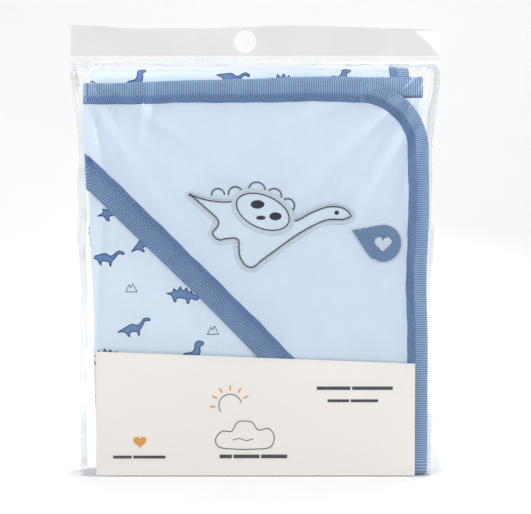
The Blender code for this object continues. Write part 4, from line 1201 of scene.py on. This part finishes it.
def printed_on_card(flat, faces):
    """Flat x and z laid on the card, a hair in front of it."""
    points = np.stack([flat[:, 0], card_y(flat[:, 0], flat[:, 1]) - 0.00006, flat[:, 1]], 1)
    return points, facing(points, faces, FRONT), flat


def drawn(line, width, closed=False):
    """A line of even width printed on the card, from points along its middle."""
    line = even(line, 0.0008, closed)
    ahead = ahead_of(line, closed)
    side = np.stack([-ahead[:, 1], ahead[:, 0]], 1) * width / 2
    flat = np.stack([line - side, line + side], 1).reshape(-1, 2)
    return printed_on_card(flat, quads(len(line), 2, closed))


def bars(left, right, middle, height, words):
    """Placeholder text: a row of plain bars of uneven lengths with gaps between them."""
    share = np.array(words, float)
    ends = np.concatenate([[0], np.cumsum(share / share.sum()) * (right - left)])
    gap = 0.0012
    return [drawn(np.array([(left + start, middle), (left + end - gap, middle)]), height)
            for start, end in zip(ends[:-1], ends[1:])]


def make_card_print():
    """A sun over a cloud in thin lines, with orange rays, a small heart and bars for text."""
    cx, cz = -0.0100, 0.0370
    cloud_centre = np.array([cx + 0.003, cz - 0.006])
    sun_centre = (cx - 0.009, cz + 0.0165)
    cloud = smooth_outline(np.array([
        (-20, -9), (-23, -3), (-18, 3), (-11, 3), (-6, 10), (4, 10), (9, 4), (17, 5), (21, -1), (18, -9),
        (6, -10.5), (-8, -10.5),
    ]) * 0.001 + cloud_centre, 10)
    sun = ellipse(0.0085, 0.0085, 0.0, 60, sun_centre, 0.25, PI * 1.12)
    dark = [drawn(cloud, 0.0007, True), drawn(sun, 0.0007)]
    wisp = np.array([(-10, -4), (-5, -2.5), (0, -4), (5, -2.5)]) * 0.001 + cloud_centre
    dark.append(drawn(smooth_outline(wisp, 8)[:24], 0.0006))
    dark += bars(-0.1070, -0.0665, 0.0145, 0.0022, (3, 5))
    dark += bars(0.0460, 0.1042, 0.0665, 0.0026, (5, 6))
    dark += bars(0.0540, 0.0932, 0.0570, 0.0022, (4, 5))
    dark += bars(cx - 0.0170, cx + 0.0350, 0.0150, 0.0028, (2, 4, 4))
    small_heart = printed_on_card(*filled(heart(0.0100, 48, (-0.0868, 0.0262)), 0.003))
    rays = []
    for a in np.radians(np.array([28, 58, 90, 122, 152, 184])):
        ray = np.array([(math.cos(a), math.sin(a))]) * np.array([[0.0112], [0.0152]])
        rays.append(drawn(ray + np.array(sun_centre), 0.0013))
    piece("card_lines", *joined(dark), CARD_INK, "card", "card", smooth=False)
    piece("card_heart", *small_heart, CARD_ORANGE, "card", "card", smooth=False)
    piece("card_rays", *joined(rays), CARD_ORANGE, "card", "card", smooth=False)


# ---------------------------------------------------------------- bag

BAG_HALF = 0.131244
ROOF_START = 0.299276
ROOF_END = 0.312276
HEADER_HALF = 0.140
HOLE_X = -0.0080
HOLE_RADIUS = 0.0085
FILM_WALL = 0.0003
film_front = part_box("bag_front_film")[0].y
film_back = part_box("bag_back_film")[1].y
seal_low, seal_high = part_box("header_seal")
header_low, header_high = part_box("header_sheet")
lip_low, lip_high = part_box("closing_lip")
tape_low, tape_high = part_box("adhesive_strip")


def half_width(z):
    """As wide as the pack, and widening to the flat bag over the shoulder, with slack edges."""
    wave = 0.0006 * np.sin(z * 52 + 0.4) + 0.0004 * np.sin(z * 121)
    slack, flat_bag = 0.0006, 0.00745
    widening = (flat_bag - slack) * ease(z, ROOF_START - 0.030, ROOF_START)
    return BAG_HALF + slack + widening + wave * ease(z, 0.01, 0.05)


def seam_y(z):
    """Depth of the side seams, which lean back from the middle to the top fold."""
    return TOP_FOLD_Y * ease(z, ROOF_START - 0.050, ROOF_END)


def creases(x, z):
    """How far the film stands out of its plain shape: pulls that fan from the two top corners,
    gathers under the header that fade downwards, slack tucks along the sides, and slow swells."""
    out = 0.00045 * (1 + np.sin(x * 33 + z * 21)) * ease(z, 0.02, 0.09)
    down = ROOF_END - z
    gather = np.exp(-np.maximum(down, 0) / 0.020)
    out = out + 0.0007 * gather * (1 + np.sin(x * 260 + 2.2 * np.sin(x * 61)))
    for side, turns in ((-1, (0.25, 0.55, 0.95)), (1, (0.22, 0.48, 0.80, 1.15))):
        dx, dz = (0.136 - side * x), ROOF_END + 0.002 - z
        angle = np.arctan2(np.maximum(dx, 0), np.maximum(dz, 1e-4))
        reach = np.hypot(dx, dz)
        fade = np.exp(-reach / 0.075) * ease(reach, 0.0, 0.012)
        for number, turn in enumerate(turns):
            out = out + (0.0034 - 0.0004 * number) * fade * bump_line(angle, turn, 0.055)
    tuck = bump_line(np.abs(x) + 0.003 * np.sin(z * 37), 0.1195, 0.0028)
    out = out + 0.0014 * tuck * ease(z, 0.05, 0.12) * (0.4 + 0.6 * np.sin(z * 19 + np.sign(x)) ** 2)
    streak = bump_line(x + 0.080 - 0.15 * (z - 0.28), 0.0, 0.0030) * bump_line(z, 0.285, 0.022)
    out = out + 0.0016 * streak
    fan = bump_line(x - 0.1154 - 0.59 * (z - 0.266), 0.0, 0.0024) * bump_line(z, 0.284, 0.030)
    return out + 0.0028 * fan


def web(name, face_y, side, stands_for):
    """One side of the bag: for each height a row from seam to seam round two rounded corners,
    closing over the towel's top as a quarter ellipse, and moved out along the row's normal."""
    z = np.concatenate([np.linspace(0.0008, 0.2600, 92), np.linspace(0.2625, ROOF_START, 22)[:-1],
                        ROOF_START + (ROOF_END - ROOF_START) * np.sin(0.5 * PI * np.linspace(0, 1, 18))])
    share = np.clip((z - ROOF_START) / (ROOF_END - ROOF_START), 0, 1)
    flat = 0.00045
    full = np.abs(face_y - seam_y(z)) - flat
    depth = (flat + full * np.sqrt(np.maximum(1 - share ** 2, 0)))[:, None]
    radius = np.minimum(0.0050, 0.6 * depth)
    half = half_width(z)[:, None]
    a = PI * (1 - 0.5 * np.linspace(0, 1, 8))[None, :]
    corner_x = -half + radius * (1 + np.cos(a))
    corner_y = depth - radius + radius * np.sin(a)
    face_x = np.linspace(0, 1, 182)[None, 1:-1] * 2 - 1
    face_x = face_x * (half - radius)
    edge_x, edge_y = -half, np.full(half.shape, 0.00015)
    x = np.concatenate([edge_x, corner_x, face_x, -corner_x[:, ::-1], -edge_x], 1)
    y = np.concatenate([edge_y, corner_y, np.broadcast_to(depth, face_x.shape), corner_y[:, ::-1], edge_y], 1)
    zz = np.broadcast_to(z[:, None], x.shape)
    out = creases(-side * x, zz) * np.clip(y / np.maximum(depth, 1e-6), 0, 1) ** 2
    out = out * (1 - ease(share, 0.75, 1.0))[:, None] * ease(depth, 0.001, 0.008)
    y = seam_y(zz) + side * (y + out)
    points = np.stack([x, y, zz], -1).reshape(-1, 3)
    soft = np.stack(soften(points[:, 0], points[:, 1], points[:, 2]), 1)
    keep = ease(points[:, 2], ROOF_START, ROOF_END)[:, None]
    x, y, z = (soft * (1 - keep) + points * keep).T.reshape(3, *x.shape)
    return sheet_piece(name, x, y, z, (0, side, 0), CLEAR_FILM, "bag", "clear_film", stands_for)


def make_side_seal(name, side, stands_for):
    """The welded edge: a thin fin up the side that flares to a free flat corner at the foot."""
    z = np.concatenate([np.linspace(0.0, 0.026, 26), np.linspace(0.028, ROOF_END, 110)])
    q = np.linspace(0, 1, 9)[None, :]
    inner = half_width(z) + 0.0004
    base_flare = (HEADER_HALF - BAG_HALF - 0.0006) * np.clip(1 - z / 0.022, 0, 1) ** 1.15
    outer = inner + 0.0026 + base_flare + 0.0004 * np.sin(z * 140)
    x = inner[:, None] + (outer - inner)[:, None] * q
    curl = 0.0022 * q ** 2 * (np.sin(z * 60 + side) + 0.5 * np.sin(z * 133))[:, None]
    curl = curl * ease(z, 0.0, 0.03)[:, None]
    ear = 0.0030 * q ** 2 * np.clip(1 - z / 0.022, 0, 1)[:, None]
    y = seam_y(z)[:, None] + curl - ear * side
    x = soften(side * x, np.zeros(x.shape), z[:, None])[0]
    return sheet_piece(name, x, y, z[:, None], FRONT, SIDE_FILM, "bag", "clear_film", stands_for)


def make_header_seal():
    """The weld across the bag: a thin band pressed with fine upright ridges."""
    x = np.linspace(seal_low.x, seal_high.x, 560)[:, None]
    q = np.linspace(0, 1, 11)[None, :]
    z = seal_low.z + (seal_high.z - seal_low.z) * q + 0.0004 * np.sin(x * 47) + 0.0002 * np.sin(x * 113)
    ridge = 0.00022 * np.cos(2 * PI * x / 0.0016) * np.sin(PI * q)
    y = (seal_low.y + seal_high.y) / 2 + ridge
    return sheet_piece("header_weld", x, y, z, FRONT, SEAL_FILM, "bag", "header_film", ["header_seal"])


def header_wave(x, z):
    """Forward and back waves of the header: slow ones all along, and a crumpled right-hand corner."""
    up = np.clip((z - header_low.z) / (header_high.z - header_low.z), 0, 1)
    wave = 0.0010 * up * np.sin(x * 38 + 0.8) + 0.0006 * up * np.sin(x * 96 + 3 * up)
    left = ease(-x, 0.03, 0.12)
    wave = wave + 0.0009 * up * left * np.sin(x * 190 + 2 * up)
    corner = ease(x + 0.6 * (z - header_low.z), 0.100, 0.142)
    crumple = np.sin((x - 1.7 * z) * 420) + 0.6 * np.sin((x + 0.8 * z) * 310 + 1.2)
    return wave + 0.0011 * corner * crumple * ease(up, 0.0, 0.25)


def make_header_sheet():
    """The header round its punched hole: points spread evenly along the rectangle, joined by
    straight spokes to points round the hole, and waved in depth."""
    cx, cz = HOLE_X, (header_low.z + header_high.z) / 2 - 0.0001
    x0, x1, z0, z1 = header_low.x, header_high.x, header_low.z, header_high.z
    corners = np.array([(x1, z0), (x1, z1), (x0, z1), (x0, z0)])
    rim = even(corners, 0.0016)
    angle = np.arctan2(rim[:, 1] - cz, rim[:, 0] - cx)
    order = np.argsort(angle)
    spread = np.empty(len(angle))
    spread[order] = np.linspace(-PI, PI, len(angle), endpoint=False)
    blend = 0.55 * angle + 0.45 * spread
    hole = np.stack([cx + HOLE_RADIUS * np.cos(blend), cz + HOLE_RADIUS * np.sin(blend)], 1)
    q = (np.linspace(0, 1, 22) ** 1.1)[None, :, None]
    flat = hole[:, None] * (1 - q) + rim[:, None] * q
    x, z = flat[..., 0], flat[..., 1]
    up = (z - z0) / (z1 - z0)
    z = z + up * (0.0012 * np.sin(x * 36 + 0.5) + 0.0007 * np.sin(x * 83) * ease(-x, 0.02, 0.1))
    z = z - 0.0016 * up * ease(x, 0.118, 0.140)
    return sheet_piece("header", x, TOP_FOLD_Y + header_wave(x, z), z, FRONT, HEADER_FILM, "header",
                       "header_film", ["header_sheet"], wrap=True)


def make_lip():
    """The closing flap up the back of the bag, slightly waved, and its band of tape."""
    for name, box, finish, node, slot, rise in (
        ("lip_flap", (lip_low, lip_high), CLEAR_FILM, "closing_lip", "clear_film", 0.0016),
        ("lip_tape", (tape_low, tape_high), TAPE_FILM, "adhesive_strip", "adhesive_tape", 0.0023),
    ):
        x = np.linspace(box[0].x, box[1].x, 120)[:, None]
        z = np.linspace(box[0].z, box[1].z, 20)[None, :]
        wave = 0.0007 * ease(z, 0.004, 0.04) * np.sin(x * 44 + z * 60)
        y = (box[0].y + box[1].y) / 2 + rise * ease(z, 0.0, 0.012) + wave
        sheet_piece(name, x, y, z, (0, 1, 0), finish, "lip", slot, [node])


# ---------------------------------------------------------------- making everything

cloth = make_cloth()
hood = make_hood()
edge_knit = make_edge_binding()
hood_knit = make_hood_binding()
edge_thread = seam(edge_point, EDGE_LENGTH, True, edge_seam_height, ("edge_seam_lines", "edge_seam_loops"),
                   ["edge_stitching"], BINDING_WIDTH)
hood_thread = seam(diagonal_point, 2 * DIAGONAL_HALF - 0.001, False, hood_seam_height,
                   ("hood_seam_lines", "hood_seam_loops"), ["hood_stitching"], HOOD_BINDING_WIDTH,
                   -DIAGONAL_HALF + 0.0005)
make_dino()
make_saddle()
make_plates()
make_bubble()
make_print(placements())
make_card()
make_card_print()
web("front_film", film_front + FILM_WALL / 2, -1, ["bag_front_film"])
web("back_film", film_back - FILM_WALL / 2, 1, ["bag_back_film"])
make_side_seal("left_weld", -1, ["side_seal_left"])
make_side_seal("right_weld", 1, ["side_seal_right"])
make_header_seal()
make_header_sheet()
make_lip()
